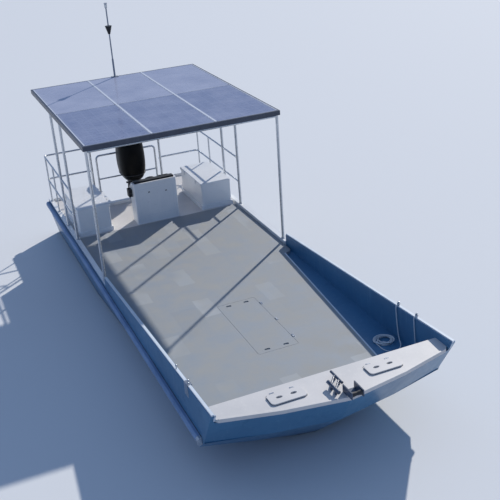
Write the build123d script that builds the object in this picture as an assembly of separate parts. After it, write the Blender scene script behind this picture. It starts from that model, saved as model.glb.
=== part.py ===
"""Aquaculture work boat: a flat-decked hull with a roofed helm, rails, storage and one outboard engine.

Millimetres. X runs to port, Y runs aft, Z is up from the waterline. The origin is on the
waterline amidships, and the bow points along -Y.
"""
from build123d import *
from math import cos, radians, sin, tan
import os

# Hull
STERN_Y = 4400
BOW_TIP_Y = -4030       # the knuckle's foremost point
BOW_MID_X = 750
BOW_MID_BACK = 130      # the bow's middle corners lie this far behind the tip
SHOULDER_BACK = 330     # and so do its shoulders, where the straight sides begin
FLARE = 320             # how far the bow leans forward up to the gunwale
SIDE_X = 1490           # half breadth
KNUCKLE_Z = 600
BELT_Z = 430            # lower edge of the upright topsides
BOW_FALL = 1.1          # how far the bow falls back for each millimetre below the knuckle
SIDE_DECK_Z = 700
GUNWALE_START_Z = 805
GUNWALE_BOW_Z = 1140
GUNWALE_WIDTH = 50
GUNWALE_FALL = 170      # where it starts to fall to the foredeck, ahead of the shoulder
GUNWALE_END = 20        # how far above the foredeck it ends
FLOOR_Z = 610
SIDE_DECK_WIDTH = 70
SIDE_DECK_CAP = 14
SEAT_GAP = 0.3          # clearance between pieces that bear on each other
KEEL_Z = -250
CHINE_Z = -60
SHOULDER_Y = BOW_TIP_Y + SHOULDER_BACK
HULL_WIDTH = 2 * SIDE_X

# Roof, set out from the stern
ROOF_SETBACK = 170
ROOF_LENGTH = 3780
ROOF_WIDTH = 3000
ROOF_TOP_Z = 2780
ROOF_AFT_Y = STERN_Y - ROOF_SETBACK
ROOF_FRONT_Y = ROOF_AFT_Y - ROOF_LENGTH
PANEL_THICKNESS = 35
PANEL_STRIP = 26
EDGE_STRIP = 12
STRIP_RISE = 4
PANEL_GAP = 2
FASCIA_HEIGHT = 35
FASCIA_THICKNESS = 30
BEAM_WIDTH = 40
BAR_HEIGHT = 30
ROOF_TUBE_RADIUS = 17

# Posts and rails
POST_X = SIDE_X - 35
POST_RADIUS = 22
POST_INSET = 30         # from the roof's front edge to the front posts
POST_MIDDLE_Y = STERN_Y - 2190
POST_AFT_Y = STERN_Y - 1510
INNER_POST_X = 660
INNER_POST_Y = ROOF_AFT_Y - 60
RAIL_RADIUS = 16
RAIL_TOP_Z = 1540
RAIL_MIDDLE_Z = 1100
RAIL_END_Y = STERN_Y - 100
RAIL_BEND = 70
STANCHION_RADIUS = 14
STANCHION_Y = STERN_Y - 790
CORNER_STANCHION_Y = STERN_Y - 180
FLANGE_HEIGHT = 8
FLANGE_RADIUS = 34

# Open forward well
BREAK_Y = ROOF_FRONT_Y - 100    # where the side decks end and the gunwales step up

# Stern well for the engine
TRANSOM_Y = STERN_Y - 820
TRANSOM_THICKNESS = 80
WELL_HALF = 520
WELL_COAMING = 80
STERN_BULWARK = 90
WELL_CORNER = 40
HOOP_X = 560
HOOP_Y = STERN_Y - 250
HOOP_TOP_Z = 1400
HOOP_MIDDLE_Z = 950
HOOP_RADIUS = 18
HOOP_BAR_RADIUS = 14
HOOP_BEND = 70

# Helm
CONSOLE_WIDTH = 750
CONSOLE_FRONT_Y = STERN_Y - 2030
CONSOLE_DEPTH = 260
CONSOLE_TOP_Z = 1370
CONSOLE_WALL = 20
CONSOLE_SHELF = 150
CONSOLE_DROP = 90
CONSOLE_SILL = 60
CONSOLE_HEADER = 330
CONSOLE_CORNER = 30
DASH_INSET = 30
DASH_RISE = 22
WHEEL_RADIUS = 170
WHEEL_RIM = 14
WHEEL_HUB = 34
WHEEL_HUB_DEPTH = 26
SPOKE_WIDTH = 26
SPOKE_DEPTH = 10
WHEEL_Z = CONSOLE_TOP_Z - 200
WHEEL_REACH = 50         # from the console's back to the wheel

LEVER_BOX = (60, 120, 130)      # the control box's width, length and height
LEVER_DROP = 250                # from the console's top to the foot of that box
LEVER_BACK = 190                # from the console's front to its middle
LEVER_RADIUS = 9
LEVER_SWEEP = (-50, 150)        # how far aft and up the lever's grip is from its pivot
GRIP_RADIUS = 16
GRIP_LENGTH = 70

# Decks
DECK_THICKNESS = 40
DECK_GAP = 6
DECK_JOINT_Y = CONSOLE_FRONT_Y - 30
WORK_DECK_STEP_HALF = 1290      # half width just ahead of the step at the front posts
WORK_DECK_FORE_HALF = 935
WORK_DECK_STEP_Y = BREAK_Y - 290
WORK_DECK_CORNER = 115
FOREDECK_AFT_Y = SHOULDER_Y
FOREDECK_Z = 1040
FOREDECK_THICKNESS = 35
FOREDECK_SETBACK = 10
FOREDECK_CORNER = 45
LIP_WIDTH = 22
LIP_HEIGHT = 9

# Foredeck hatches
HATCH_X = 595
HATCH_WIDTH = 430
HATCH_LENGTH = 220
HATCH_Y = BOW_TIP_Y + 105
HATCH_CORNER = 50
HATCH_GAP = 5
RECESS_X = 85
RECESS_LONG = 38
RECESS_SHORT = 20
RECESS_DEPTH = 12
LOCKER_DEPTH = 170
LOCKER_LIP = 20
LOCKER_RAKE = 60

# Mooring bitt
BITT_HEIGHT = 62
BITT_SPREAD = 50
BITT_LEG_RADIUS = 15
BITT_BRACE_RADIUS = 12
BITT_HORN = 50          # length of the thick bar's free ends
BITT_HORN_RADIUS = 21
CHOCK_X = 40
CHOCK_LENGTH = 200
CHOCK_REACH = 60        # how far its cheeks stand out past the foredeck's edge
CHOCK_HALF = 75
CHOCK_HEIGHT = 95
CHOCK_PLATE = 12
ROLLER_PIN_RADIUS = 8
ROLLER_LENGTH = 120
ROLLER_RADIUS = 30
ROLLER_WAIST = 22
ROLLER_LIFT = 55

# Hold lid in the work deck
HOLD_Y = -1730
HOLD_LENGTH = 1420
HOLD_WIDTH = 560
HOLD_DEPTH = 300
HOLD_CORNER = 30
HOLD_LIP = 40
HOLD_GRIP_X = 130
HOLD_GRIP_BACK = 70     # from the lid's ends to its hand grips

# Storage boxes
BOX_X = 1090
BOX_WIDTH = 550
BOX_FRONT_Y = STERN_Y - 1995
BOX_LENGTH = 1050
BOX_TOP_Z = 1130
BOX_WALL = 22
BOX_CORNER = 25
BOX_PLINTH = 70
PLINTH_LIP = 15
LID_HEIGHT = 45
LID_OVERHANG = 12

# Engine
CLAMP_X = 110           # its clamp plates' inner faces
CLAMP_PLATE = 30
CLAMP_DROP = 45         # how far they reach down inside the coaming
CLAMP_FOOT = 330        # and outside it
CLAMP_LENGTH = 90
CLAMP_BRIDGE = 40
CLAMP_RISE = 78
BARREL_RADIUS = 38
BARREL_GAP = 5
STEER_TUBE_RADIUS = 55
STEER_TUBE_DROP = 330
STEER_TUBE_RISE = 34
YOKE_HALF = 60
WEB_HALF = 45
ARM_HALF = 40
ARM_DEPTH = 60
ARM_GAP = 6
TILT_Y = TRANSOM_Y + 55
TILT_Z = SIDE_DECK_Z + 50
STEER_Y = TILT_Y + 110
COWL_Y = STEER_Y + 70
COWL_BOTTOM_Z = 1070
COWL_TOP_Z = 1770
COWL_WIDTH = 490
COWL_LENGTH = 580
PAN_DEPTH = 90
SHELF_THICKNESS = 40
LEG_SETBACK = 150
LEG_WAIST_Z = 330
SHELF_HALF = 110
PLATE_THICKNESS = 14
PLATE_HALF = (120, 250)         # the cavitation plate's half width and half length
PLATE_SETBACK = 40
SHAFT_RADIUS = 24
TILT_TUBE_RADIUS = 16
SHAFT_FIT = 0.06
PLATE_Z = -110
PROP_Z = -320
PROP_RADIUS = 178
PROP_SHAFT_RADIUS = 14
PROP_SHAFT_LENGTH = 45
HUB_RADIUS = 48
HUB_LENGTH = 110
BLADES = 3
TORPEDO_NOSE = 230
TORPEDO_TAIL = 150
SKEG_DEPTH = 215
SKEG_THICKNESS = 18

# Mast and its foot
MAST_FOOT = (60, 30, 10)        # half width, reach forward and thickness
MAST_SLEEVE = 320
LAMP_RADIUS = 24
LAMP_HEIGHT = 70
LAMP_CAP = 12
MAST_Y = ROOF_AFT_Y - 50
MAST_HEIGHT = 1210
MAST_RADIUS = 17
DAY_SHAPE_LIFT = 760
DAY_SHAPE_HEIGHT = 140
DAY_SHAPE_RADIUS = 60

# Rub rail and trims
RUB_WIDTH = 60
RUB_HEIGHT = 95
RUB_Z = 585
TRIM_WIDTH = 34
TRIM_HEIGHT = 18
TRIM_INSET = 6
KNOB_BACKS = (430, 830)         # from the shoulder to the gunwale's knobs
KNOB_STEM = 40
KNOB_STEM_RADIUS = 8
KNOB_RADIUS = 14

# Ropes on the port ledge
ROPE_RADIUS = 7
ROPE_Z = FLOOR_Z + ROPE_RADIUS + SEAT_GAP
COIL_X, COIL_Y = 1262, -2870
COIL_RADIUS = 140
COIL_HOLE = 62
COIL_HEIGHT = 44
COIL_LEAD = 90                  # the straight end that leaves the coil
COIL_LEAD_X = COIL_X - COIL_RADIUS + 2 * ROPE_RADIUS

parts = {}


def keep(name, shape):
    """Store one named node."""
    parts[name] = shape


def block(x0, x1, y0, y1, z0, z1):
    """An upright block between two corners."""
    return Pos((x0 + x1) / 2, (y0 + y1) / 2, (z0 + z1) / 2) * Box(abs(x1 - x0), abs(y1 - y0), abs(z1 - z0))


def plan(points, z):
    """A closed face of straight edges in a level plane."""
    return make_face(Polyline([(x, y, z) for x, y in points], close=True))


def upright(points, x, thickness):
    """A plate with a fore and aft outline of (y, z) points, extruded to port from x."""
    return extrude(make_face(Polyline([(x, y, z) for y, z in points], close=True)), thickness, dir=(1, 0, 0))


def mirrored(half):
    """A closed outline from the points of its port half, bow to stern."""
    return half + [(-x, y) for x, y in reversed(half) if x > 0]


def between(lower, lower_z, upper, upper_z):
    """A solid with ruled sides between two level outlines."""
    return loft([plan(lower, lower_z), plan(upper, upper_z)], ruled=True)


def rod(start, end, radius):
    """A round bar from one point to another."""
    a, b = Vector(*start), Vector(*end)
    return Plane(origin=a, z_dir=b - a) * Pos(0, 0, (b - a).length / 2) * Cylinder(radius, (b - a).length)


def pipe(points, radius, bend):
    """A bent round tube along straight runs."""
    path = FilletPolyline(*points, radius=bend)
    return sweep(Plane(origin=path @ 0, z_dir=path % 0) * Circle(radius), path=path)


def bowOutline(setback, z):
    """Half outline of the bow, from the tip to the shoulder, at a height above the knuckle."""
    back = setback - FLARE * (z - KNUCKLE_Z) / (GUNWALE_BOW_Z - KNUCKLE_Z)
    return [(0, BOW_TIP_Y + back), (BOW_MID_X, BOW_TIP_Y + BOW_MID_BACK + back), (SIDE_X, SHOULDER_Y + back)]


def gunwaleZ(y):
    """Height of the forward gunwale."""
    share = (BREAK_Y - y) / (BREAK_Y - (SHOULDER_Y - FLARE))
    return GUNWALE_START_Z + (GUNWALE_BOW_Z - GUNWALE_START_Z) * max(0, min(1, share))


def makeHull():
    """Lower body, upright topsides, flared bow, open well forward and the stern well."""
    forefoot = BOW_TIP_Y - FLARE
    # share of the length from the stern, keel's rise, chine's share of the breadth, chine's rise
    stations = [
        (0.00, 60, 0.93, 0),
        (0.33, 10, 0.93, -10),
        (0.67, 0, 0.83, 30),
        (0.84, 40, 0.53, 150),
        (0.93, 300, 0.25, 280),
        (1.00, BELT_Z - KEEL_Z - 30, 0.06, BELT_Z - CHINE_Z - 15),
    ]
    sections = []
    for along, keelRise, chineShare, chineRise in stations:
        y = STERN_Y + (forefoot - STERN_Y) * along
        half = [(SIDE_X * chineShare, CHINE_Z + chineRise), (SIDE_X, BELT_Z), (SIDE_X, KNUCKLE_Z)]
        ring = [(0, KEEL_Z + keelRise)] + half + [(-x, z) for x, z in reversed(half)]
        sections.append(make_face(Polyline([(x, y, z) for x, z in ring], close=True)))
    lower = loft(sections, ruled=True)
    # below the knuckle the bow's face falls back
    wide = SIDE_X + 50
    front = mirrored(bowOutline(0, KNUCKLE_Z)[:2] + [(wide, SHOULDER_Y), (wide, STERN_Y)])
    depth = KNUCKLE_Z - KEEL_Z + 100
    receded = [(x, y + depth * BOW_FALL if y < 0 else y) for x, y in front]
    lower = lower & between(receded, KNUCKLE_Z - depth, front, KNUCKLE_Z)

    foot, head = [mirrored(bowOutline(0, z) + [(SIDE_X, STERN_Y)]) for z in (KNUCKLE_Z, GUNWALE_BOW_Z)]
    hull = lower + between(foot, KNUCKLE_Z, head, GUNWALE_BOW_Z)

    # the sheer: low side decks, a step up to the gunwales, and the foredeck's bed between them
    aft = STERN_Y + 10
    ahead = forefoot - 200
    cut = GUNWALE_BOW_Z + 200
    wallTop = SIDE_DECK_Z - SIDE_DECK_CAP
    fall = SHOULDER_Y - GUNWALE_FALL
    end = FOREDECK_Z + GUNWALE_END
    sheer = [(aft, wallTop), (BREAK_Y, wallTop), (BREAK_Y, GUNWALE_START_Z), (fall, gunwaleZ(fall)),
             (bowOutline(0, end)[2][1], end), (ahead, end), (ahead, cut), (aft, cut)]
    hull -= upright(sheer, -HULL_WIDTH, 2 * HULL_WIDTH)
    inner = SIDE_X - GUNWALE_WIDTH
    bedZ = FOREDECK_Z - FOREDECK_THICKNESS
    hull -= block(-inner, inner, FOREDECK_AFT_Y, aft, FLOOR_Z, cut)
    hull -= block(-inner, inner, ahead, FOREDECK_AFT_Y + 1, bedZ, cut)
    for side in (-1, 1):
        hull -= makeLocker(side)
    hull -= block(-WELL_HALF, WELL_HALF, TRANSOM_Y, aft, KEEL_Z - 200, cut)
    hull -= block(-HOLD_WIDTH / 2 + HOLD_LIP, HOLD_WIDTH / 2 - HOLD_LIP, HOLD_Y - HOLD_LENGTH / 2 + HOLD_LIP,
                  HOLD_Y + HOLD_LENGTH / 2 - HOLD_LIP, FLOOR_Z - HOLD_DEPTH, FLOOR_Z + 1)
    return hull


def splitHull(hull):
    """The hull's four mouldings: the body up to the floor, the bow above it, and a bulwark along each side."""
    ahead, aft = BOW_TIP_Y - 2 * FLARE, STERN_Y + 10
    high = GUNWALE_BOW_Z + 10
    above = block(-HULL_WIDTH, HULL_WIDTH, ahead, aft, FLOOR_Z, high)
    bow = block(-HULL_WIDTH, HULL_WIDTH, ahead, FOREDECK_AFT_Y, FLOOR_Z, high)
    port, starboard = [block(0, side * HULL_WIDTH, FOREDECK_AFT_Y, aft, FLOOR_Z, high) for side in (1, -1)]
    return hull - above, hull & bow, hull & port, hull & starboard


def makeSideDeck(side):
    """The narrow white side deck: a cap over the hull's wall and a coaming down to the floor."""
    inner = side * (SIDE_X - SIDE_DECK_WIDTH)
    front = BREAK_Y + SEAT_GAP
    cap = block(inner, side * SIDE_X, front, STERN_Y, SIDE_DECK_Z - SIDE_DECK_CAP + SEAT_GAP, SIDE_DECK_Z)
    wall = side * (SIDE_X - GUNWALE_WIDTH - SEAT_GAP)
    return cap + block(inner, wall, front, STERN_Y, FLOOR_Z, SIDE_DECK_Z)


def makeWellCoaming():
    """The white wall round the engine's well and across the stern of each quarter."""
    outer = WELL_HALF + WELL_COAMING
    side = SIDE_X - SIDE_DECK_WIDTH - SEAT_GAP
    half = [(WELL_HALF, TRANSOM_Y), (WELL_HALF, STERN_Y), (side, STERN_Y), (side, STERN_Y - STERN_BULWARK),
            (outer, STERN_Y - STERN_BULWARK), (outer, TRANSOM_Y - TRANSOM_THICKNESS)]
    ring = half + [(-x, y) for x, y in reversed(half)]
    wall = extrude(plan(ring, FLOOR_Z), SIDE_DECK_Z - FLOOR_Z, dir=(0, 0, 1))
    front = TRANSOM_Y - TRANSOM_THICKNESS
    corners = [e for e in wall.edges().filter_by(Axis.Z) if abs(e.center().Y - front) < 1]
    return fillet(corners, WELL_CORNER)


def makeLocker(side):
    """The space under one foredeck hatch."""
    inboard = side * (HATCH_X - HATCH_WIDTH / 2 + LOCKER_LIP)
    outboard = side * (HATCH_X + HATCH_WIDTH / 2 - LOCKER_LIP)
    front = HATCH_Y - HATCH_LENGTH / 2 + LOCKER_LIP
    back = HATCH_Y + HATCH_LENGTH / 2 - LOCKER_LIP
    bedZ = FOREDECK_Z - FOREDECK_THICKNESS
    foot = front + LOCKER_RAKE
    low = [(inboard, foot), (outboard, foot), (outboard, back), (inboard, back)]
    high = [(inboard, front), (outboard, front), (outboard, back), (inboard, back)]
    locker = between(low, bedZ - LOCKER_DEPTH, high, bedZ)
    return locker + block(inboard, outboard, front, back, bedZ, bedZ + 1)


def roundedPlate(width, length, thickness, corner):
    """A flat plate with rounded corners, centred, its top at z = 0."""
    return extrude(RectangleRounded(width, length, corner), -thickness)


def makeWorkDeck():
    """The grey deck: full width to starboard, narrowing forward to port, with the hold's opening."""
    top = FLOOR_Z + DECK_THICKNESS
    edge = SIDE_X - SIDE_DECK_WIDTH - DECK_GAP
    full = SIDE_X - GUNWALE_WIDTH - DECK_GAP
    front = FOREDECK_AFT_Y + DECK_GAP
    back = DECK_JOINT_Y - DECK_GAP / 2
    port = [(WORK_DECK_FORE_HALF, front), (WORK_DECK_STEP_HALF, WORK_DECK_STEP_Y), (edge, WORK_DECK_STEP_Y),
            (edge, back)]
    starboard = [(-edge, back), (-edge, BREAK_Y - DECK_GAP), (-full, BREAK_Y - DECK_GAP), (-full, front)]
    deck = extrude(plan(port + starboard, FLOOR_Z), DECK_THICKNESS, dir=(0, 0, 1))
    corner = [e for e in deck.edges().filter_by(Axis.Z)
              if abs(e.center().X - edge) < 1 and abs(e.center().Y - WORK_DECK_STEP_Y) < 1]
    deck = fillet(corner, WORK_DECK_CORNER)
    opening = roundedPlate(HOLD_WIDTH, HOLD_LENGTH, DECK_THICKNESS + 2, HOLD_CORNER)
    return deck - Pos(0, HOLD_Y, top + 1) * opening


def makeAftDeck():
    """The white deck round the helm, split by the engine's well."""
    edge = SIDE_X - SIDE_DECK_WIDTH - DECK_GAP
    top = FLOOR_Z + DECK_THICKNESS
    aft = STERN_Y - STERN_BULWARK - DECK_GAP
    wellFront = TRANSOM_Y - TRANSOM_THICKNESS - DECK_GAP
    deck = block(-edge, edge, DECK_JOINT_Y + DECK_GAP / 2, wellFront, FLOOR_Z, top)
    inner = WELL_HALF + WELL_COAMING + DECK_GAP
    for side in (-1, 1):
        deck += block(side * inner, side * edge, wellFront - 1, aft, FLOOR_Z, top)
    return deck


def foredeckHalf():
    """Half outline of the white foredeck, which fits between the gunwales."""
    tip, middle, shoulder = bowOutline(FOREDECK_SETBACK, FOREDECK_Z)
    half = SIDE_X - GUNWALE_WIDTH - SEAT_GAP
    slope = (shoulder[1] - middle[1]) / (shoulder[0] - middle[0])
    corner = [(half - back, middle[1] + slope * (half - back - middle[0])) for back in (FOREDECK_CORNER, 0)]
    return [tip, middle, corner[0], (half, corner[1][1] + FOREDECK_CORNER), (half, FOREDECK_AFT_Y)]


def makeForedeck():
    """The white foredeck with two hatch openings and a raised lip along its front edge."""
    bedZ = FOREDECK_Z - FOREDECK_THICKNESS
    half = foredeckHalf()
    deck = extrude(plan(mirrored(half), bedZ), FOREDECK_THICKNESS, dir=(0, 0, 1))
    edge = half[:3]
    edge = [(-x, y) for x, y in reversed(edge[1:])] + edge
    lip = plan(edge + [(x, y + LIP_WIDTH) for x, y in reversed(edge)], FOREDECK_Z)
    deck += extrude(lip, LIP_HEIGHT, dir=(0, 0, 1))
    for side in (-1, 1):
        opening = roundedPlate(HATCH_WIDTH, HATCH_LENGTH, FOREDECK_THICKNESS + 2, HATCH_CORNER)
        deck -= Pos(side * HATCH_X, HATCH_Y, FOREDECK_Z + 1) * opening
    return deck


def makeHatchLid(side):
    """A flush lid with two oval hand recesses."""
    lid = roundedPlate(HATCH_WIDTH - 2 * HATCH_GAP, HATCH_LENGTH - 2 * HATCH_GAP,
                       FOREDECK_THICKNESS - SEAT_GAP, HATCH_CORNER - HATCH_GAP)
    for offset in (-RECESS_X, RECESS_X):
        lid -= Pos(offset, 0, 0) * extrude(Ellipse(RECESS_LONG, RECESS_SHORT), -RECESS_DEPTH)
    return Pos(side * HATCH_X, HATCH_Y, FOREDECK_Z) * lid


def makeHoldLid():
    """The flush lid of the hold in the work deck."""
    top = FLOOR_Z + DECK_THICKNESS
    lid = roundedPlate(HOLD_WIDTH - 2 * HATCH_GAP, HOLD_LENGTH - 2 * HATCH_GAP, DECK_THICKNESS - SEAT_GAP,
                       HOLD_CORNER - HATCH_GAP)
    for offsetX in (-1, 1):
        for offsetY in (-1, 1):
            grip = extrude(SlotOverall(2 * RECESS_LONG, 2 * RECESS_SHORT), -RECESS_DEPTH)
            lid -= Pos(offsetX * HOLD_GRIP_X, offsetY * (HOLD_LENGTH / 2 - HOLD_GRIP_BACK), 0) * grip
    return Pos(0, HOLD_Y, top) * lid


def makeRubRail(side):
    """A rubber rail along the knuckle, rounded on its outer face."""
    back, outer = SIDE_X + SEAT_GAP, SIDE_X + RUB_WIDTH
    low, high = RUB_Z - RUB_HEIGHT / 2, RUB_Z + RUB_HEIGHT / 2
    shoulder = outer - RUB_HEIGHT / 4
    face = [Line((back, low), (shoulder, low)),
            ThreePointArc((shoulder, low), (outer, RUB_Z), (shoulder, high)),
            Line((shoulder, high), (back, high)), Line((back, high), (back, low))]
    section = Plane(origin=(0, STERN_Y, 0), x_dir=(side, 0, 0), z_dir=(0, -side, 0)) * make_face(face)
    return extrude(section, STERN_Y - SHOULDER_Y - RUB_WIDTH, dir=(0, -1, 0))


def hexahedron(rings):
    """A solid with ruled faces between closed rings of points."""
    return loft([make_face(Polyline(ring, close=True)) for ring in rings], ruled=True)


def makeGunwaleTrim(side):
    """The light strip on top of the forward gunwale."""
    outer = SIDE_X - TRIM_INSET
    rings = []
    for y in (BREAK_Y, SHOULDER_Y - GUNWALE_FALL):
        z = gunwaleZ(y)
        rings.append([(side * outer, y, z), (side * (outer - TRIM_WIDTH), y, z),
                      (side * (outer - TRIM_WIDTH), y, z + TRIM_HEIGHT), (side * outer, y, z + TRIM_HEIGHT)])
    return hexahedron(rings)


def makeRoofFrame():
    """Edge fascia, cross beams and the bars under the strips between the panels."""
    half = ROOF_WIDTH / 2
    under = ROOF_TOP_Z - PANEL_THICKNESS
    inside = half - FASCIA_THICKNESS
    front, aft = ROOF_FRONT_Y + FASCIA_THICKNESS, ROOF_AFT_Y - FASCIA_THICKNESS
    frame = block(-half, half, ROOF_FRONT_Y, ROOF_AFT_Y, under - FASCIA_HEIGHT, ROOF_TOP_Z)
    frame -= block(-inside, inside, front, aft, under - FASCIA_HEIGHT - 1, ROOF_TOP_Z + 1)
    middle = (ROOF_FRONT_Y + ROOF_AFT_Y) / 2
    for y in (front + BEAM_WIDTH / 2, POST_MIDDLE_Y, POST_AFT_Y, INNER_POST_Y, middle):
        frame += block(-inside, inside, y - BEAM_WIDTH / 2, y + BEAM_WIDTH / 2, under - FASCIA_HEIGHT, under)
    for x in (-inside / 3, inside / 3):
        frame += block(x - PANEL_STRIP / 2, x + PANEL_STRIP / 2, front, aft, under - BAR_HEIGHT, under)
    return frame


def makePanelStrips():
    """The light strips that hold the panels down, two between the columns and one at each side."""
    inside = ROOF_WIDTH / 2 - FASCIA_THICKNESS
    front, aft = ROOF_FRONT_Y + FASCIA_THICKNESS + SEAT_GAP, ROOF_AFT_Y - FASCIA_THICKNESS - SEAT_GAP
    strips = []
    edge = inside - EDGE_STRIP / 2 - SEAT_GAP
    for x, width in ((-edge, EDGE_STRIP), (-inside / 3, PANEL_STRIP), (inside / 3, PANEL_STRIP),
                     (edge, EDGE_STRIP)):
        strips.append(block(x - width / 2, x + width / 2, front, aft, ROOF_TOP_Z - PANEL_THICKNESS,
                            ROOF_TOP_Z + STRIP_RISE))
    return Compound(strips)


def makePanels():
    """Six solar panels in two rows of three, lying on the beams."""
    inside = FASCIA_THICKNESS
    pitchX = (ROOF_WIDTH - 2 * inside) / 3
    pitchY = (ROOF_LENGTH - 2 * inside) / 2
    panels = []
    for column in (-1, 0, 1):
        leftTrim = PANEL_STRIP / 2 if column > -1 else EDGE_STRIP
        rightTrim = PANEL_STRIP / 2 if column < 1 else EDGE_STRIP
        x0 = column * pitchX - pitchX / 2 + leftTrim + PANEL_GAP
        x1 = column * pitchX + pitchX / 2 - rightTrim - PANEL_GAP
        for row in (0, 1):
            y0 = ROOF_FRONT_Y + inside + row * pitchY + PANEL_GAP
            y1 = y0 + pitchY - 2 * PANEL_GAP
            panels.append(block(x0, x1, y0, y1, ROOF_TOP_Z - PANEL_THICKNESS, ROOF_TOP_Z))
    return Compound(panels)


def postTop():
    """Underside of the roof's frame."""
    return ROOF_TOP_Z - PANEL_THICKNESS - FASCIA_HEIGHT


def makePost(x, y, foot):
    """An upright tube with a base flange."""
    post = rod((x, y, foot), (x, y, postTop()), POST_RADIUS)
    return post + rod((x, y, foot), (x, y, foot + FLANGE_HEIGHT), FLANGE_RADIUS)


def makeRoofTubes():
    """The tubes under the roof, one across between each pair of posts."""
    z = postTop() - ROOF_TUBE_RADIUS
    tubes = []
    for x, y in ((POST_X, ROOF_FRONT_Y + POST_INSET), (POST_X, POST_MIDDLE_Y), (POST_X, POST_AFT_Y),
                 (INNER_POST_X, INNER_POST_Y)):
        tube = rod((-x, y, z), (x, y, z), ROOF_TUBE_RADIUS)
        for side in (-1, 1):
            tube -= rod((side * x, y, z - POST_RADIUS), (side * x, y, postTop()), POST_RADIUS)
        tubes.append(max(tube.solids(), key=lambda solid: solid.volume))
    return Compound(tubes)


def makeQuarterRail(side):
    """Two levels of bent rail from the middle post round the stern corner to the inner aft post."""
    x = side * POST_X
    innerX = side * INNER_POST_X
    posts = [rod((px, py, SIDE_DECK_Z), (px, py, ROOF_TOP_Z), POST_RADIUS)
             for px, py in ((x, POST_MIDDLE_Y), (x, POST_AFT_Y), (innerX, INNER_POST_Y))]
    tubes = []
    for z in (RAIL_TOP_Z, RAIL_MIDDLE_Z):
        tubes.append(rod((x, POST_MIDDLE_Y, z), (x, POST_AFT_Y, z), RAIL_RADIUS) - posts[0] - posts[1])
        bent = pipe([(x, POST_AFT_Y, z), (x, RAIL_END_Y, z), (innerX, RAIL_END_Y, z),
                     (innerX, INNER_POST_Y, z)], RAIL_RADIUS, RAIL_BEND)
        tubes.append(bent - posts[1] - posts[2])
    uprights = []
    for y in (STANCHION_Y, CORNER_STANCHION_Y):
        lower = rod((x, y, SIDE_DECK_Z), (x, y, RAIL_MIDDLE_Z), STANCHION_RADIUS) - tubes[3]
        lower += rod((x, y, SIDE_DECK_Z), (x, y, SIDE_DECK_Z + FLANGE_HEIGHT), FLANGE_RADIUS)
        upper = rod((x, y, RAIL_MIDDLE_Z), (x, y, RAIL_TOP_Z), STANCHION_RADIUS) - tubes[3] - tubes[1]
        uprights += [lower, upper]
    return Compound(tubes + uprights)


def makeHoop():
    """The bent guard over the engine, with a middle bar, standing on the well's coamings."""
    points = [(-HOOP_X, HOOP_Y, SIDE_DECK_Z), (-HOOP_X, HOOP_Y, HOOP_TOP_Z), (HOOP_X, HOOP_Y, HOOP_TOP_Z),
              (HOOP_X, HOOP_Y, SIDE_DECK_Z)]
    hoop = pipe(points, HOOP_RADIUS, HOOP_BEND)
    hoop += rod((-HOOP_X, HOOP_Y, HOOP_MIDDLE_Z), (HOOP_X, HOOP_Y, HOOP_MIDDLE_Z), HOOP_BAR_RADIUS)
    for side in (-1, 1):
        foot = (side * HOOP_X, HOOP_Y, SIDE_DECK_Z)
        hoop += rod(foot, (foot[0], foot[1], SIDE_DECK_Z + FLANGE_HEIGHT), FLANGE_RADIUS)
    return hoop


def makeConsole():
    """A hollow helm console with rounded front corners, open at the back above a low sill."""
    half = CONSOLE_WIDTH / 2
    base = FLOOR_Z + DECK_THICKNESS
    back = CONSOLE_FRONT_Y + CONSOLE_DEPTH
    knee = CONSOLE_FRONT_Y + CONSOLE_SHELF
    outer = [(CONSOLE_FRONT_Y, base), (CONSOLE_FRONT_Y, CONSOLE_TOP_Z), (knee, CONSOLE_TOP_Z),
             (back, CONSOLE_TOP_Z - CONSOLE_DROP), (back, base)]
    body = upright(outer, -half, CONSOLE_WIDTH)
    corners = [e for e in body.edges().filter_by(Axis.Z) if abs(e.center().Y - CONSOLE_FRONT_Y) < 1]
    body = fillet(corners, CONSOLE_CORNER)
    body -= block(-half + CONSOLE_WALL, half - CONSOLE_WALL, CONSOLE_FRONT_Y + CONSOLE_WALL,
                  back + 10, base + CONSOLE_SILL, CONSOLE_TOP_Z - CONSOLE_HEADER)
    return body


def makeDash():
    """The dark instrument top on the console's slope."""
    half = CONSOLE_WIDTH / 2 - DASH_INSET
    front = CONSOLE_FRONT_Y + DASH_INSET
    back = CONSOLE_FRONT_Y + CONSOLE_DEPTH
    knee = CONSOLE_FRONT_Y + CONSOLE_SHELF
    low = CONSOLE_TOP_Z - CONSOLE_DROP
    ring = [(front, CONSOLE_TOP_Z), (knee, CONSOLE_TOP_Z), (back, low), (back, low + DASH_RISE),
            (knee, CONSOLE_TOP_Z + DASH_RISE), (front + DASH_RISE, CONSOLE_TOP_Z + DASH_RISE)]
    return upright(ring, -half, 2 * half)


def makeHelmWheel():
    """A three-spoke steering wheel with its shaft, facing aft."""
    back = CONSOLE_FRONT_Y + CONSOLE_DEPTH
    # the rim's section is a hexagon
    section = [(WHEEL_RADIUS + WHEEL_RIM * cos(radians(a)), WHEEL_RIM * sin(radians(a)))
               for a in range(0, 360, 60)]
    rim = revolve(make_face(Polyline([(r, 0, z) for r, z in section], close=True)), Axis.Z)
    wheel = rim + Cylinder(WHEEL_HUB, WHEEL_HUB_DEPTH)
    for turn in (90, 210, 330):
        wheel += Rot(0, 0, turn) * Pos(WHEEL_RADIUS / 2, 0, 0) * Box(WHEEL_RADIUS, SPOKE_WIDTH, SPOKE_DEPTH)
    wheel += Cylinder(WHEEL_RIM, WHEEL_REACH - SEAT_GAP, align=(Align.CENTER, Align.CENTER, Align.MIN))
    return Pos(0, back + WHEEL_REACH, WHEEL_Z) * Rot(90, 0, 0) * wheel


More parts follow.
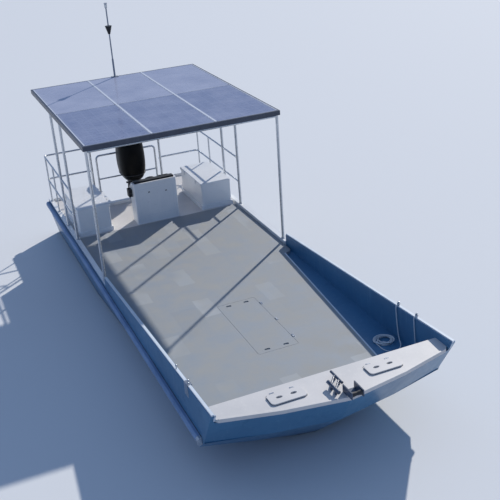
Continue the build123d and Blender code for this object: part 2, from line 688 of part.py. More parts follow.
def makeThrottle():
    """A control box with its lever on the console's starboard side."""
    width, length, height = LEVER_BOX
    x = -CONSOLE_WIDTH / 2
    y = CONSOLE_FRONT_Y + LEVER_BACK
    foot = CONSOLE_TOP_Z - LEVER_DROP
    body = block(x - width, x, y - length / 2, y + length / 2, foot, foot + height)
    pivot = (x - width * 0.7, y, foot + height - LEVER_RADIUS)
    end = (pivot[0], y + LEVER_SWEEP[0], pivot[2] + LEVER_SWEEP[1])
    grip = Pos(*end) * Cylinder(GRIP_RADIUS, GRIP_LENGTH, rotation=(0, 90, 0))
    return body + rod(pivot, end, LEVER_RADIUS) + grip


def makeStorageBox(side):
    """An open-topped box on a plinth."""
    half = BOX_WIDTH / 2
    base = FLOOR_Z + DECK_THICKNESS
    back = BOX_FRONT_Y + BOX_LENGTH
    rim = BOX_TOP_Z - LID_HEIGHT
    x = side * BOX_X
    box = block(x - half, x + half, BOX_FRONT_Y, back, base, rim)
    box = fillet(box.edges().filter_by(Axis.Z), BOX_CORNER)
    box += block(x - half - PLINTH_LIP, x + half + PLINTH_LIP, BOX_FRONT_Y - PLINTH_LIP, back + PLINTH_LIP,
                 base, base + BOX_PLINTH)
    box -= block(x - half + BOX_WALL, x + half - BOX_WALL, BOX_FRONT_Y + BOX_WALL, back - BOX_WALL,
                 base + BOX_WALL + 10, rim + 1)
    return box


def makeBoxLid(side):
    """A shallow lid with a turned-down edge."""
    front = BOX_FRONT_Y - LID_OVERHANG
    back = BOX_FRONT_Y + BOX_LENGTH + LID_OVERHANG
    rim = BOX_TOP_Z - LID_HEIGHT + SEAT_GAP
    inboard = BOX_X - BOX_WIDTH / 2 - LID_OVERHANG
    outboard = BOX_X + BOX_WIDTH / 2
    lid = block(side * inboard, side * outboard, front, back, rim, BOX_TOP_Z)
    lid = fillet(lid.edges().filter_by(Axis.Z), 30)
    return fillet(lid.edges().group_by(Axis.Z)[-1], 12)


def makeBitt():
    """The H-shaped mooring bitt: two fore and aft bars on legs, one further forward with thick ends."""
    # bar's x, middle y, length, radius, radius of its free ends
    bars = [(0, BOW_TIP_Y + 85, 250, 16, 16), (-120, BOW_TIP_Y - 70, 240, 18, BITT_HORN_RADIUS)]
    top = FOREDECK_Z + BITT_HEIGHT
    bitt = None
    for x, y, length, radius, hornRadius in bars:
        front, back = y - length / 2, y + length / 2
        bar = rod((x, front, top), (x, back, top), radius)
        if hornRadius > radius:
            bar += rod((x, front, top), (x, front + BITT_HORN, top), hornRadius)
            bar += rod((x, back, top), (x, back - BITT_HORN, top), hornRadius)
        for offset in (-BITT_SPREAD, BITT_SPREAD):
            bar += rod((x, y + offset, FOREDECK_Z), (x, y + offset, top), BITT_LEG_RADIUS)
        bitt = bar if bitt is None else bitt + bar
    for offset in (-BITT_SPREAD, BITT_SPREAD):
        ends = [(x, y + offset, top) for x, y, length, radius, hornRadius in bars]
        bitt += rod(ends[0], ends[1], BITT_BRACE_RADIUS)
    return bitt


def chockPin():
    """Middle of the roller's pin."""
    front = bowOutline(FOREDECK_SETBACK, FOREDECK_Z)[0][1]
    return CHOCK_X, front - CHOCK_REACH / 2, FOREDECK_Z + ROLLER_LIFT


def makeChock():
    """The bow chock's two cheeks, base and pin, standing a little past the foredeck's edge."""
    x, y, z = chockPin()
    front = y - CHOCK_REACH / 2
    deckEdge = y + CHOCK_REACH / 2 + 2 * LIP_WIDTH + CHOCK_PLATE
    aft = front + CHOCK_LENGTH
    chock = block(x - CHOCK_HALF, x + CHOCK_HALF, deckEdge, aft, FOREDECK_Z, FOREDECK_Z + CHOCK_PLATE)
    for side in (-1, 1):
        cheek = block(x + side * (CHOCK_HALF - CHOCK_PLATE), x + side * CHOCK_HALF, front, aft,
                      FOREDECK_Z + CHOCK_PLATE, FOREDECK_Z + CHOCK_HEIGHT)
        chock += cheek + block(x + side * (CHOCK_HALF - CHOCK_PLATE), x + side * CHOCK_HALF, deckEdge, aft,
                               FOREDECK_Z, FOREDECK_Z + CHOCK_HEIGHT)
    return chock + rod((x - CHOCK_HALF, y, z), (x + CHOCK_HALF, y, z), ROLLER_PIN_RADIUS)


def makeBowRoller():
    """The waisted roller in the chock."""
    bore = ROLLER_PIN_RADIUS + SHAFT_FIT
    end = ROLLER_LENGTH / 2
    profile = [(bore, -end), (ROLLER_RADIUS, -end), (ROLLER_WAIST, 0), (ROLLER_RADIUS, end), (bore, end)]
    roller = revolve(make_face(Polyline([(r, 0, z) for r, z in profile], close=True)), Axis.Z)
    return Pos(*chockPin()) * Rot(0, 90, 0) * roller


def makeKnobs(side, trim):
    """Small round knobs on the gunwale beside the foredeck."""
    knobs = []
    for back in KNOB_BACKS:
        x, y, z = knobFoot(back)
        stem = Cylinder(KNOB_STEM_RADIUS, KNOB_STEM) + Pos(0, 0, KNOB_STEM / 2) * Sphere(KNOB_RADIUS)
        knobs.append(Pos(side * x, y, z - 1 + KNOB_STEM / 2) * stem - trim)
    return Compound(knobs)


def knobFoot(back):
    """Where a port knob stands on the gunwale's strip."""
    y = SHOULDER_Y + back
    return SIDE_X - TRIM_INSET - TRIM_WIDTH / 2, y, gunwaleZ(y) + TRIM_HEIGHT


def makeRope(points):
    """A rope's tube: straight runs joined by arcs as large as the runs allow."""
    radii = []
    for before, corner, after in zip(points, points[1:], points[2:]):
        first = Vector(*corner) - Vector(*before)
        second = Vector(*after) - Vector(*corner)
        turn = radians(first.get_angle(second))
        radii.append(0.45 * min(first.length, second.length) / tan(turn / 2))
    path = FilletPolyline(*points, radius=radii)
    print("rope", round(path.length), "mm, radii", [round(r) for r in radii])
    return sweep(Plane(origin=path @ 0, z_dir=path % 0) * Circle(ROPE_RADIUS), path=path)


def makeLongRope():
    """The rope that hangs from the after knob, crosses the ledge and enters the coil."""
    x, y, z = knobFoot(KNOB_BACKS[1])
    start = x - KNOB_STEM_RADIUS
    high = z + ROPE_RADIUS + 1
    return makeRope([(start, y, high), (1425, y, high), (1424, y - 10, high - 64), (1423, y - 26, high - 180),
                     (1420, y - 60, 745), (1414, y - 100, 650), (1394, y - 176, ROPE_Z),
                     (1342, y - 246, ROPE_Z), (1262, y - 282, ROPE_Z), (1180, y - 256, ROPE_Z),
                     (COIL_LEAD_X, y - 178, ROPE_Z), (COIL_LEAD_X, COIL_Y - COIL_LEAD, ROPE_Z)])


def makeShortRope():
    """The rope that hangs from the forward knob and ends on the ledge."""
    x, y, z = knobFoot(KNOB_BACKS[0])
    start = x - KNOB_STEM_RADIUS
    high = z + ROPE_RADIUS + 1
    return makeRope([(start, y, high), (1425, y, high), (1424, y - 8, high - 65), (1423, y - 24, high - 190),
                     (1420, y - 48, 775), (1412, y - 84, 660), (1394, y - 158, ROPE_Z),
                     (1352, y - 232, ROPE_Z), (1280, y - 276, ROPE_Z), (1192, y - 262, ROPE_Z)])


def makeRopeCoil():
    """The coil on the ledge, a plain ring with the rope's straight end."""
    floor = FLOOR_Z + SEAT_GAP
    ring = rod((COIL_X, COIL_Y, floor), (COIL_X, COIL_Y, floor + COIL_HEIGHT), COIL_RADIUS)
    ring -= rod((COIL_X, COIL_Y, floor - 1), (COIL_X, COIL_Y, floor + COIL_HEIGHT + 1), COIL_HOLE)
    return ring + rod((COIL_LEAD_X, COIL_Y - COIL_LEAD, ROPE_Z), (COIL_LEAD_X, COIL_Y, ROPE_Z), ROPE_RADIUS)


def makeBracket():
    """The clamp bracket: two plates that hook over the transom's coaming, tied by the tilt tube."""
    top = SIDE_DECK_Z
    inside = TRANSOM_Y - TRANSOM_THICKNESS
    hook = inside - CLAMP_PLATE
    aft = TRANSOM_Y + CLAMP_LENGTH
    foot, head = top - CLAMP_FOOT, top + CLAMP_RISE
    outline = [(hook, top - CLAMP_DROP), (inside, top - CLAMP_DROP), (inside, top), (TRANSOM_Y, top),
               (TRANSOM_Y, foot), (aft - CLAMP_PLATE, foot), (aft, top - CLAMP_FOOT / 2), (aft, head),
               (TRANSOM_Y + CLAMP_PLATE, head), (TRANSOM_Y, top + CLAMP_BRIDGE), (hook, top + CLAMP_BRIDGE)]
    bracket = rod((-CLAMP_X - CLAMP_PLATE / 2, TILT_Y, TILT_Z), (CLAMP_X + CLAMP_PLATE / 2, TILT_Y, TILT_Z),
                  TILT_TUBE_RADIUS)
    for x in (-CLAMP_X - CLAMP_PLATE, CLAMP_X):
        bracket += upright(outline, x, CLAMP_PLATE)
    return bracket


def makeSwivel():
    """The swivel bracket that tilts about the cross tube and carries the steering pivot."""
    half = CLAMP_X - BARREL_GAP
    foot, head = TILT_Z - STEER_TUBE_DROP, TILT_Z + STEER_TUBE_RISE
    swivel = rod((-half, TILT_Y, TILT_Z), (half, TILT_Y, TILT_Z), BARREL_RADIUS)
    swivel += block(-YOKE_HALF, YOKE_HALF, TILT_Y + TILT_TUBE_RADIUS, STEER_Y, TILT_Z - YOKE_HALF, head)
    swivel += block(-WEB_HALF, WEB_HALF, TILT_Y + BARREL_RADIUS, STEER_Y, foot, TILT_Z - BARREL_RADIUS)
    swivel += rod((0, STEER_Y, foot), (0, STEER_Y, head), STEER_TUBE_RADIUS)
    swivel -= rod((0, STEER_Y, foot - 10), (0, STEER_Y, head + 10), SHAFT_RADIUS + SHAFT_FIT)
    swivel -= rod((-half - 10, TILT_Y, TILT_Z), (half + 10, TILT_Y, TILT_Z), TILT_TUBE_RADIUS + SHAFT_FIT)
    return swivel


def ovalSection(width, length, y, z, power=0.5):
    """A rounded plan section of the cowl."""
    return Pos(0, y, z) * RectangleRounded(width, length, min(width, length) * power * 0.98)


def makeCowl():
    """The engine's cover over its lower pan."""
    sections = [
        ovalSection(COWL_WIDTH * 0.62, COWL_LENGTH * 0.72, COWL_Y - 10, COWL_BOTTOM_Z - PAN_DEPTH, 0.35),
        ovalSection(COWL_WIDTH * 0.92, COWL_LENGTH * 0.95, COWL_Y, COWL_BOTTOM_Z + 20, 0.35),
        ovalSection(COWL_WIDTH, COWL_LENGTH, COWL_Y, COWL_BOTTOM_Z + 330, 0.35),
        ovalSection(COWL_WIDTH * 0.94, COWL_LENGTH * 0.93, COWL_Y - 5, COWL_TOP_Z - 70, 0.35),
        ovalSection(COWL_WIDTH * 0.72, COWL_LENGTH * 0.74, COWL_Y - 10, COWL_TOP_Z, 0.35),
    ]
    return loft(sections, ruled=True)


def oval(halfX, halfY, y, z):
    """A level twelve-sided oval."""
    ring = [(halfX * cos(radians(a)), y + halfY * sin(radians(a)), z) for a in range(15, 375, 30)]
    return make_face(Polyline(ring, close=True))


def makeLeg():
    """Steering shaft with its two arms, midsection and cavitation plate."""
    panBottom = COWL_BOTTOM_Z - PAN_DEPTH
    shelf = panBottom - SHELF_THICKNESS
    legY = STEER_Y + LEG_SETBACK
    foot, head = TILT_Z - STEER_TUBE_DROP - ARM_GAP, TILT_Z + STEER_TUBE_RISE + ARM_GAP
    front = STEER_Y - SHAFT_RADIUS
    leg = loft([oval(42, 120, legY, PLATE_Z + PLATE_THICKNESS), oval(58, 85, legY, LEG_WAIST_Z),
                oval(75, 80, legY, shelf)], ruled=True)
    leg += block(-SHELF_HALF, SHELF_HALF, STEER_Y - SHELF_HALF / 2, legY + SHELF_HALF, shelf, panBottom)
    leg += rod((0, STEER_Y, foot - ARM_DEPTH / 2), (0, STEER_Y, shelf + 10), SHAFT_RADIUS)
    leg += block(-ARM_HALF, ARM_HALF, front, legY, foot - ARM_DEPTH, foot)
    leg += block(-ARM_HALF, ARM_HALF, front, legY, head, head + ARM_DEPTH)
    halfX, halfY = PLATE_HALF
    return leg + extrude(oval(halfX, halfY, legY + PLATE_SETBACK, PLATE_Z), PLATE_THICKNESS, dir=(0, 0, 1))


def makeGearcase():
    """The torpedo, strut and skeg below the plate."""
    y = STEER_Y + LEG_SETBACK
    case = loft([oval(42, 120, y, PLATE_Z), oval(40, 130, y, PROP_Z)], ruled=True)
    # radius, place along the shaft
    profile = [(0, -TORPEDO_NOSE), (34, -190), (58, -110), (62, 60), (55, TORPEDO_TAIL), (0, TORPEDO_TAIL)]
    torpedo = revolve(make_face(Polyline([(r, s, 0) for r, s in profile], close=True)), Axis.Y)
    case += Pos(0, y, PROP_Z) * torpedo
    low = PROP_Z - SKEG_DEPTH
    fin = [(y - 90, PROP_Z - 20), (y + 110, PROP_Z - 20), (y + 90, low), (y + 20, low)]
    case += upright(fin, -SKEG_THICKNESS / 2, SKEG_THICKNESS)
    end = y + TORPEDO_TAIL
    bore = PROP_SHAFT_RADIUS + SHAFT_FIT
    return case - rod((0, end - PROP_SHAFT_LENGTH, PROP_Z), (0, end + 10, PROP_Z), bore)


def bladeSection(radius, chord, thickness, pitch, back):
    """A lens-shaped blade section at one radius, turned to its pitch."""
    along = Vector(cos(radians(pitch)), sin(radians(pitch)), 0)
    across = Vector(-along.Y, along.X, 0)
    # share of the chord, share of the thickness
    lens = [(-0.5, 0), (-0.2, 0.5), (0.25, 0.5), (0.5, 0), (0.25, -0.5), (-0.2, -0.5)]
    ring = [Vector(0, back, radius) + along * (a * chord) + across * (t * thickness) for a, t in lens]
    return make_face(Polyline(*ring, close=True))


def makePropeller():
    """Three twisted, raked blades on a hub with its shaft stub."""
    start = STEER_Y + LEG_SETBACK + TORPEDO_TAIL + SEAT_GAP
    prop = rod((0, start, PROP_Z), (0, start + HUB_LENGTH, PROP_Z), HUB_RADIUS)
    prop += rod((0, start - PROP_SHAFT_LENGTH + SEAT_GAP, PROP_Z), (0, start + 1, PROP_Z), PROP_SHAFT_RADIUS)
    # radius, chord, thickness, pitch angle, rake
    sections = [(HUB_RADIUS - 12, 84, 13, 58, -6), (PROP_RADIUS * 0.5, 138, 11, 42, 2),
                (PROP_RADIUS * 0.8, 150, 8, 31, 14), (PROP_RADIUS, 84, 5, 26, 22)]
    blade = loft([bladeSection(*row) for row in sections], ruled=True)
    for index in range(BLADES):
        prop += Pos(0, start + HUB_LENGTH / 2, PROP_Z) * Rot(0, index * 360 / BLADES, 0) * blade
    return prop


def makeMast():
    """A thin mast in a sleeve, on a foot at the roof's aft edge."""
    half, reach, thickness = MAST_FOOT
    foot = ROOF_TOP_Z
    mast = rod((0, MAST_Y, foot), (0, MAST_Y, foot + MAST_HEIGHT), MAST_RADIUS * 0.7)
    mast += rod((0, MAST_Y, foot), (0, MAST_Y, foot + MAST_SLEEVE), MAST_RADIUS)
    return mast + block(-half, half, MAST_Y - reach, ROOF_AFT_Y, foot, foot + thickness)


def makeDayShape():
    """The inverted cone on the mast."""
    z = ROOF_TOP_Z + DAY_SHAPE_LIFT
    cone = Cone(DAY_SHAPE_RADIUS / 3, DAY_SHAPE_RADIUS, DAY_SHAPE_HEIGHT)
    shape = Pos(0, MAST_Y, z + DAY_SHAPE_HEIGHT / 2) * cone
    return shape - rod((0, MAST_Y, z - 10), (0, MAST_Y, z + DAY_SHAPE_HEIGHT + 10), MAST_RADIUS * 0.7)


def makeMastLamp():
    """The small lamp at the mast's head, under a wider cap."""
    z = ROOF_TOP_Z + MAST_HEIGHT
    neck = z + LAMP_HEIGHT
    lamp = rod((0, MAST_Y, z), (0, MAST_Y, neck), LAMP_RADIUS)
    return lamp + rod((0, MAST_Y, neck), (0, MAST_Y, neck + LAMP_CAP), LAMP_RADIUS + LAMP_CAP / 2)


def main():
    body, bow, port, starboard = splitHull(makeHull())
    keep("hull", body)
    keep("bow", bow)
    keep("bulwark_port", port)
    keep("bulwark_starboard", starboard)
    keep("work_deck", makeWorkDeck())
    keep("aft_deck", makeAftDeck())
    keep("foredeck", makeForedeck())
    keep("hold_lid", makeHoldLid())
    keep("bitt", makeBitt())
    keep("bow_chock", makeChock())
    keep("bow_roller", makeBowRoller())
    keep("well_coaming", makeWellCoaming())
    for side, word in ((1, "port"), (-1, "starboard")):
        keep("side_deck_" + word, makeSideDeck(side))
        keep("foredeck_hatch_" + word, makeHatchLid(side))
        keep("rub_rail_" + word, makeRubRail(side))
        trim = makeGunwaleTrim(side)
        keep("gunwale_trim_" + word, trim)
        keep("gunwale_knobs_" + word, makeKnobs(side, trim))
        keep("storage_box_" + word, makeStorageBox(side))
        keep("box_lid_" + word, makeBoxLid(side))
        keep("quarter_rail_" + word, makeQuarterRail(side))
        for place, x, y, foot in (("front", POST_X, ROOF_FRONT_Y + POST_INSET, SIDE_DECK_Z),
                                  ("middle", POST_X, POST_MIDDLE_Y, SIDE_DECK_Z),
                                  ("aft", POST_X, POST_AFT_Y, SIDE_DECK_Z),
                                  ("inner", INNER_POST_X, INNER_POST_Y, FLOOR_Z + DECK_THICKNESS)):
            keep("post_" + place + "_" + word, makePost(side * x, y, foot))
    keep("engine_hoop", makeHoop())
    keep("roof_frame", makeRoofFrame())
    keep("roof_tubes", makeRoofTubes())
    keep("panel_strips", makePanelStrips())
    keep("solar_panels", makePanels())
    keep("mast", makeMast())
    keep("day_shape", makeDayShape())
    keep("mast_lamp", makeMastLamp())
    keep("console", makeConsole())
    keep("dash", makeDash())
    keep("helm_wheel", makeHelmWheel())
    keep("throttle", makeThrottle())
    keep("clamp_bracket", makeBracket())
    keep("swivel_bracket", makeSwivel())
    keep("cowl", makeCowl())
    keep("leg", makeLeg())
    keep("gearcase", makeGearcase())
    keep("propeller", makePropeller())
    keep("rope_long", makeLongRope())
    keep("rope_short", makeShortRope())
    keep("rope_coil", makeRopeCoil())
    os.makedirs("parts", exist_ok=True)
    for name, shape in parts.items():
        export_step(shape, "parts/" + name + ".step")
    print(len(parts), "nodes")


main()
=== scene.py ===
import bpy, bmesh
from math import cos, pi, radians, sin
from mathutils import Matrix, Vector


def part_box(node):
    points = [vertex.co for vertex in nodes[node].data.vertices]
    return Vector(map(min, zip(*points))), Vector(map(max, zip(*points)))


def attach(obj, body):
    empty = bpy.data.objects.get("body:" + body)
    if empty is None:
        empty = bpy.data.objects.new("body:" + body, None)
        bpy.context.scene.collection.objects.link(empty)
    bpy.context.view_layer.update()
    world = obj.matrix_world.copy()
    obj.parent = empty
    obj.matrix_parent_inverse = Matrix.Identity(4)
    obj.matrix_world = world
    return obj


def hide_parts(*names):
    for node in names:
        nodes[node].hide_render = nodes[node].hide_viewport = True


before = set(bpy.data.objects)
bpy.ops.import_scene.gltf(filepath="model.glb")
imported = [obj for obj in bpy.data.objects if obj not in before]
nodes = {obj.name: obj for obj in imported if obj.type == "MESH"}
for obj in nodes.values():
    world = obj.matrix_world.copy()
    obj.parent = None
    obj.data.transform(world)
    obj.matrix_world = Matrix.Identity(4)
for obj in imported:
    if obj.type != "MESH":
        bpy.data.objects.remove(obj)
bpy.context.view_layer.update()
bpy.context.scene.view_settings.view_transform = "Standard"
print("stage 1: frame loaded,", len(nodes), "CAD nodes")


# small helpers
def linear(code, alpha=1.0):
    out = []
    for i in (1, 3, 5):
        c = int(code[i:i + 2], 16) / 255
        out.append(c / 12.92 if c <= 0.04045 else ((c + 0.055) / 1.055) ** 2.4)
    return (*out, alpha)


def perMetre(millimetres):      # texture scale for a real feature size
    return 1000.0 / millimetres


def addObject(name, data):
    thing = bpy.data.objects.new(name, data)
    bpy.context.scene.collection.objects.link(thing)
    return thing


def addNode(tree, kind, settings=None, links=None):
    node = tree.nodes.new("ShaderNode" + kind)
    for key, value in (settings or {}).items():
        if isinstance(key, str) and hasattr(node, key):
            setattr(node, key, value)
        else:
            node.inputs[key].default_value = value
    for key, source in (links or {}).items():
        tree.links.new(source, node.inputs[key])
    return node


def startMaterial(name, shader):
    mat = bpy.data.materials.new(name)
    mat.use_nodes = True
    tree = mat.node_tree
    tree.nodes.clear()
    bsdf = addNode(tree, "BsdfPrincipled", shader)
    addNode(tree, "OutputMaterial", links={"Surface": bsdf.outputs[0]})
    return mat, tree, bsdf, {"Vector": addNode(tree, "TexCoord").outputs["Object"]}


def linkShader(tree, bsdf, colour, bump, gloss=None):
    tree.links.new(colour, bsdf.inputs["Base Color"])
    tree.links.new(bump.outputs[0], bsdf.inputs["Normal"])
    if gloss:
        tree.links.new(gloss.outputs[0], bsdf.inputs["Roughness"])


# materials
def gelcoat(name, look):
    # glass-fibre gelcoat, sprayed in a mould: a glossy skin that chalks in patches and holds grime
    shader = {"IOR": 1.5, "Coat Weight": look["coat"], "Coat Roughness": 0.18}
    mat, tree, bsdf, at = startMaterial(name, shader)
    upright = addNode(tree, "Mapping", {"Scale": (1, 1, 0.12)}, at)     # streaks run downwards
    patches = addNode(tree, "TexNoise", {"Scale": perMetre(look["patchMm"]), "Detail": 5.0}, at)
    streaks = addNode(tree, "TexNoise", {"Scale": perMetre(look["streakMm"]), "Detail": 6.0,
                                         "Roughness": 0.65}, {"Vector": upright.outputs[0]})
    grime = addNode(tree, "TexNoise", {"Scale": perMetre(look["grimeMm"]), "Detail": 8.0, "Roughness": 0.7},
                    at)
    chalk = addNode(tree, "MapRange", {"From Min": 0.35, "From Max": 0.65}, {"Value": patches.outputs[0]})
    fade = addNode(tree, "MapRange", {"From Min": 0.56, "From Max": 0.74, "To Max": look["streaks"]},
                   {"Value": streaks.outputs[0]})
    soil = addNode(tree, "MapRange", {"From Min": 0.6, "From Max": 0.76, "To Max": look["grime"]},
                   {"Value": grime.outputs[0]})
    skin = addNode(tree, "Mix", {"data_type": "RGBA", 6: linear(look["base"]), 7: linear(look["chalky"])},
                   {0: chalk.outputs[0]})
    streaked = addNode(tree, "Mix", {"data_type": "RGBA", 7: linear(look["faded"])},
                       {0: fade.outputs[0], 6: skin.outputs[2]})
    soiled = addNode(tree, "Mix", {"data_type": "RGBA", 7: linear(look["dirt"])},
                     {0: soil.outputs[0], 6: streaked.outputs[2]})
    colour = soiled.outputs[2]
    if "scum" in look:              # weed and scum left where the water stands
        height = addNode(tree, "SeparateXYZ", links=at)
        reach = look["scumRagged"]
        ragged = addNode(tree, "MapRange", {"From Min": 0.3, "From Max": 0.7, "To Min": -reach,
                                            "To Max": reach}, {"Value": streaks.outputs[0]})
        edge = addNode(tree, "Math", {"operation": "ADD"}, {0: height.outputs[2], 1: ragged.outputs[0]})
        wet = addNode(tree, "MapRange", {"From Min": look["scumTop"], "From Max": look["scumFull"],
                                         "To Max": 0.75}, {"Value": edge.outputs[0]})
        colour = addNode(tree, "Mix", {"data_type": "RGBA", 7: linear(look["scum"])},
                         {0: wet.outputs[0], 6: colour}).outputs[2]
    gloss = addNode(tree, "MapRange", {"From Min": 0.3, "From Max": 0.75, "To Min": look["rough"],
                                       "To Max": look["rough"] + 0.18}, {"Value": grime.outputs[0]})
    grain = addNode(tree, "TexNoise", {"Scale": perMetre(look["grainMm"]), "Detail": 4.0}, at)
    bump = addNode(tree, "Bump", {"Strength": look["bump"], "Distance": look["depth"]},
                   {"Height": grain.outputs[0]})
    linkShader(tree, bsdf, colour, bump, gloss)
    return mat


def deckPaint(name, look):
    # two-part deck paint rolled over anti-slip grit: matt, paler where plates were laid and wore it
    mat, tree, bsdf, at = startMaterial(name, {"IOR": 1.48})
    wobble = addNode(tree, "TexNoise", {"Scale": perMetre(look["wobbleMm"]), "Detail": 3.0}, at)
    shifted = addNode(tree, "Mix", {"data_type": "RGBA", "blend_type": "ADD", 0: 0.035},
                      {6: at["Vector"], 7: wobble.outputs[1]})
    mask = addNode(tree, "TexNoise", {"Scale": perMetre(look["wornMm"]), "Detail": 2.0}, at)
    where = addNode(tree, "MapRange", {"From Min": 0.38, "From Max": 0.52}, {"Value": mask.outputs[0]})
    clouds = addNode(tree, "TexNoise", {"Scale": perMetre(look["cloudMm"]), "Detail": 7.0, "Roughness": 0.6},
                     at)
    specks = addNode(tree, "TexNoise", {"Scale": perMetre(look["speckMm"]), "Detail": 8.0,
                                        "Roughness": 0.75}, at)
    warmth = addNode(tree, "MapRange", {"From Min": 0.35, "From Max": 0.68}, {"Value": clouds.outputs[0]})
    colour = addNode(tree, "Mix", {"data_type": "RGBA", 6: linear(look["base"]), 7: linear(look["warm"])},
                     {0: warmth.outputs[0]}).outputs[2]
    for length, width, start, tint, most in look["patches"]:
        turned = addNode(tree, "Mapping", {"Rotation": (0, 0, pi / 2), "Location": start},
                         {"Vector": shifted.outputs[2]})
        brick = addNode(tree, "TexBrick", {
            "Scale": 1.0, "Mortar Size": 0.0, "Brick Width": length, "Row Height": width, "Bias": -0.35,
            "Color1": (0, 0, 0, 1), "Color2": (1, 1, 1, 1)}, {"Vector": turned.outputs[0]})
        laid = addNode(tree, "MapRange", {"From Min": 0.45, "From Max": 0.9, "To Max": most},
                       {"Value": brick.outputs[0]})
        amount = addNode(tree, "Math", {"operation": "MULTIPLY"}, {0: laid.outputs[0], 1: where.outputs[0]})
        colour = addNode(tree, "Mix", {"data_type": "RGBA", 7: linear(tint)},
                         {0: amount.outputs[0], 6: colour}).outputs[2]
    dirt = addNode(tree, "MapRange", {"From Min": 0.62, "From Max": 0.8, "To Max": 0.5},
                   {"Value": specks.outputs[0]})
    colour = addNode(tree, "Mix", {"data_type": "RGBA", 7: linear(look["dirt"])},
                     {0: dirt.outputs[0], 6: colour})
    dull = addNode(tree, "MapRange", {"From Min": 0.3, "From Max": 0.7, "To Min": 0.62, "To Max": 0.8},
                   {"Value": clouds.outputs[0]})
    grit = addNode(tree, "TexVoronoi", {"Scale": perMetre(look["gritMm"])}, at)     # drawn coarser than it is
    bump = addNode(tree, "Bump", {"Strength": 0.35, "Distance": 0.0015}, {"Height": grit.outputs[0]})
    linkShader(tree, bsdf, colour.outputs[2], bump, dull)
    return mat


def drawnTube(name, look):
    # stainless tube, drawn and belt-polished: fine upright lines, and dull water spots
    mat, tree, bsdf, at = startMaterial(name, {"Metallic": 1.0})
    along = addNode(tree, "Mapping", {"Scale": (1, 1, 0.05)}, at)
    lines = addNode(tree, "TexNoise", {"Scale": perMetre(look["lineMm"]), "Detail": 3.0},
                    {"Vector": along.outputs[0]})
    spots = addNode(tree, "TexNoise", {"Scale": perMetre(look["spotMm"]), "Detail": 6.0}, at)
    dulling = addNode(tree, "MapRange", {"From Min": 0.5, "From Max": 0.75, "To Max": 0.6},
                      {"Value": spots.outputs[0]})
    colour = addNode(tree, "Mix", {"data_type": "RGBA", 6: linear(look["base"]), 7: linear(look["dull"])},
                     {0: dulling.outputs[0]})
    gloss = addNode(tree, "MapRange", {"From Min": 0.35, "From Max": 0.7, "To Min": look["rough"],
                                       "To Max": look["rough"] + 0.15}, {"Value": spots.outputs[0]})
    bump = addNode(tree, "Bump", {"Strength": 0.08, "Distance": 0.0005}, {"Height": lines.outputs[0]})
    linkShader(tree, bsdf, colour.outputs[2], bump, gloss)
    return mat


def weatheredRubber(name, look):
    # extruded rubber, bleached by the sun in patches and scuffed where it meets quays
    mat, tree, bsdf, at = startMaterial(name, {"IOR": 1.52, "Sheen Weight": 0.15})
    along = addNode(tree, "Mapping", {"Scale": (1, 0.15, 1)}, at)
    scuffs = addNode(tree, "TexNoise", {"Scale": perMetre(50), "Detail": 8.0, "Roughness": 0.7},
                     {"Vector": along.outputs[0]})
    fade = addNode(tree, "TexNoise", {"Scale": perMetre(500), "Detail": 4.0}, at)
    bleach = addNode(tree, "MapRange", {"From Min": 0.35, "From Max": 0.65}, {"Value": fade.outputs[0]})
    worn = addNode(tree, "MapRange", {"From Min": 0.55, "From Max": 0.75, "To Max": 0.7},
                   {"Value": scuffs.outputs[0]})
    rubber = addNode(tree, "Mix", {"data_type": "RGBA", 6: linear(look["base"]), 7: linear(look["bleached"])},
                     {0: bleach.outputs[0]})
    colour = addNode(tree, "Mix", {"data_type": "RGBA", 7: linear(look["scuffed"])},
                     {0: worn.outputs[0], 6: rubber.outputs[2]})
    dull = addNode(tree, "MapRange", {"From Min": 0.3, "From Max": 0.7, "To Min": 0.6, "To Max": 0.85},
                   {"Value": scuffs.outputs[0]})
    bump = addNode(tree, "Bump", {"Strength": 0.3, "Distance": 0.002}, {"Height": scuffs.outputs[0]})
    linkShader(tree, bsdf, colour.outputs[2], bump, dull)
    return mat


def enamel(name, look):
    # stoved enamel over a casting or sheet: smooth, slightly rippled, with a film of dust in patches
    shader = {"IOR": 1.5, "Coat Weight": look["coat"], "Coat Roughness": 0.1,
              "Specular IOR Level": look["shine"]}
    mat, tree, bsdf, at = startMaterial(name, shader)
    dust = addNode(tree, "TexNoise", {"Scale": perMetre(look["dustMm"]), "Detail": 7.0, "Roughness": 0.65},
                   at)
    ripple = addNode(tree, "TexNoise", {"Scale": perMetre(12), "Detail": 2.0}, at)
    film = addNode(tree, "MapRange", {"From Min": 0.45, "From Max": 0.75, "To Max": look["dust"]},
                   {"Value": dust.outputs[0]})
    colour = addNode(tree, "Mix", {"data_type": "RGBA", 6: linear(look["base"]), 7: linear(look["dusty"])},
                     {0: film.outputs[0]})
    gloss = addNode(tree, "MapRange", {"From Min": 0.3, "From Max": 0.75, "To Min": look["rough"],
                                       "To Max": look["rough"] + 0.2}, {"Value": dust.outputs[0]})
    bump = addNode(tree, "Bump", {"Strength": 0.05, "Distance": 0.001}, {"Height": ripple.outputs[0]})
    linkShader(tree, bsdf, colour.outputs[2], bump, gloss)
    return mat


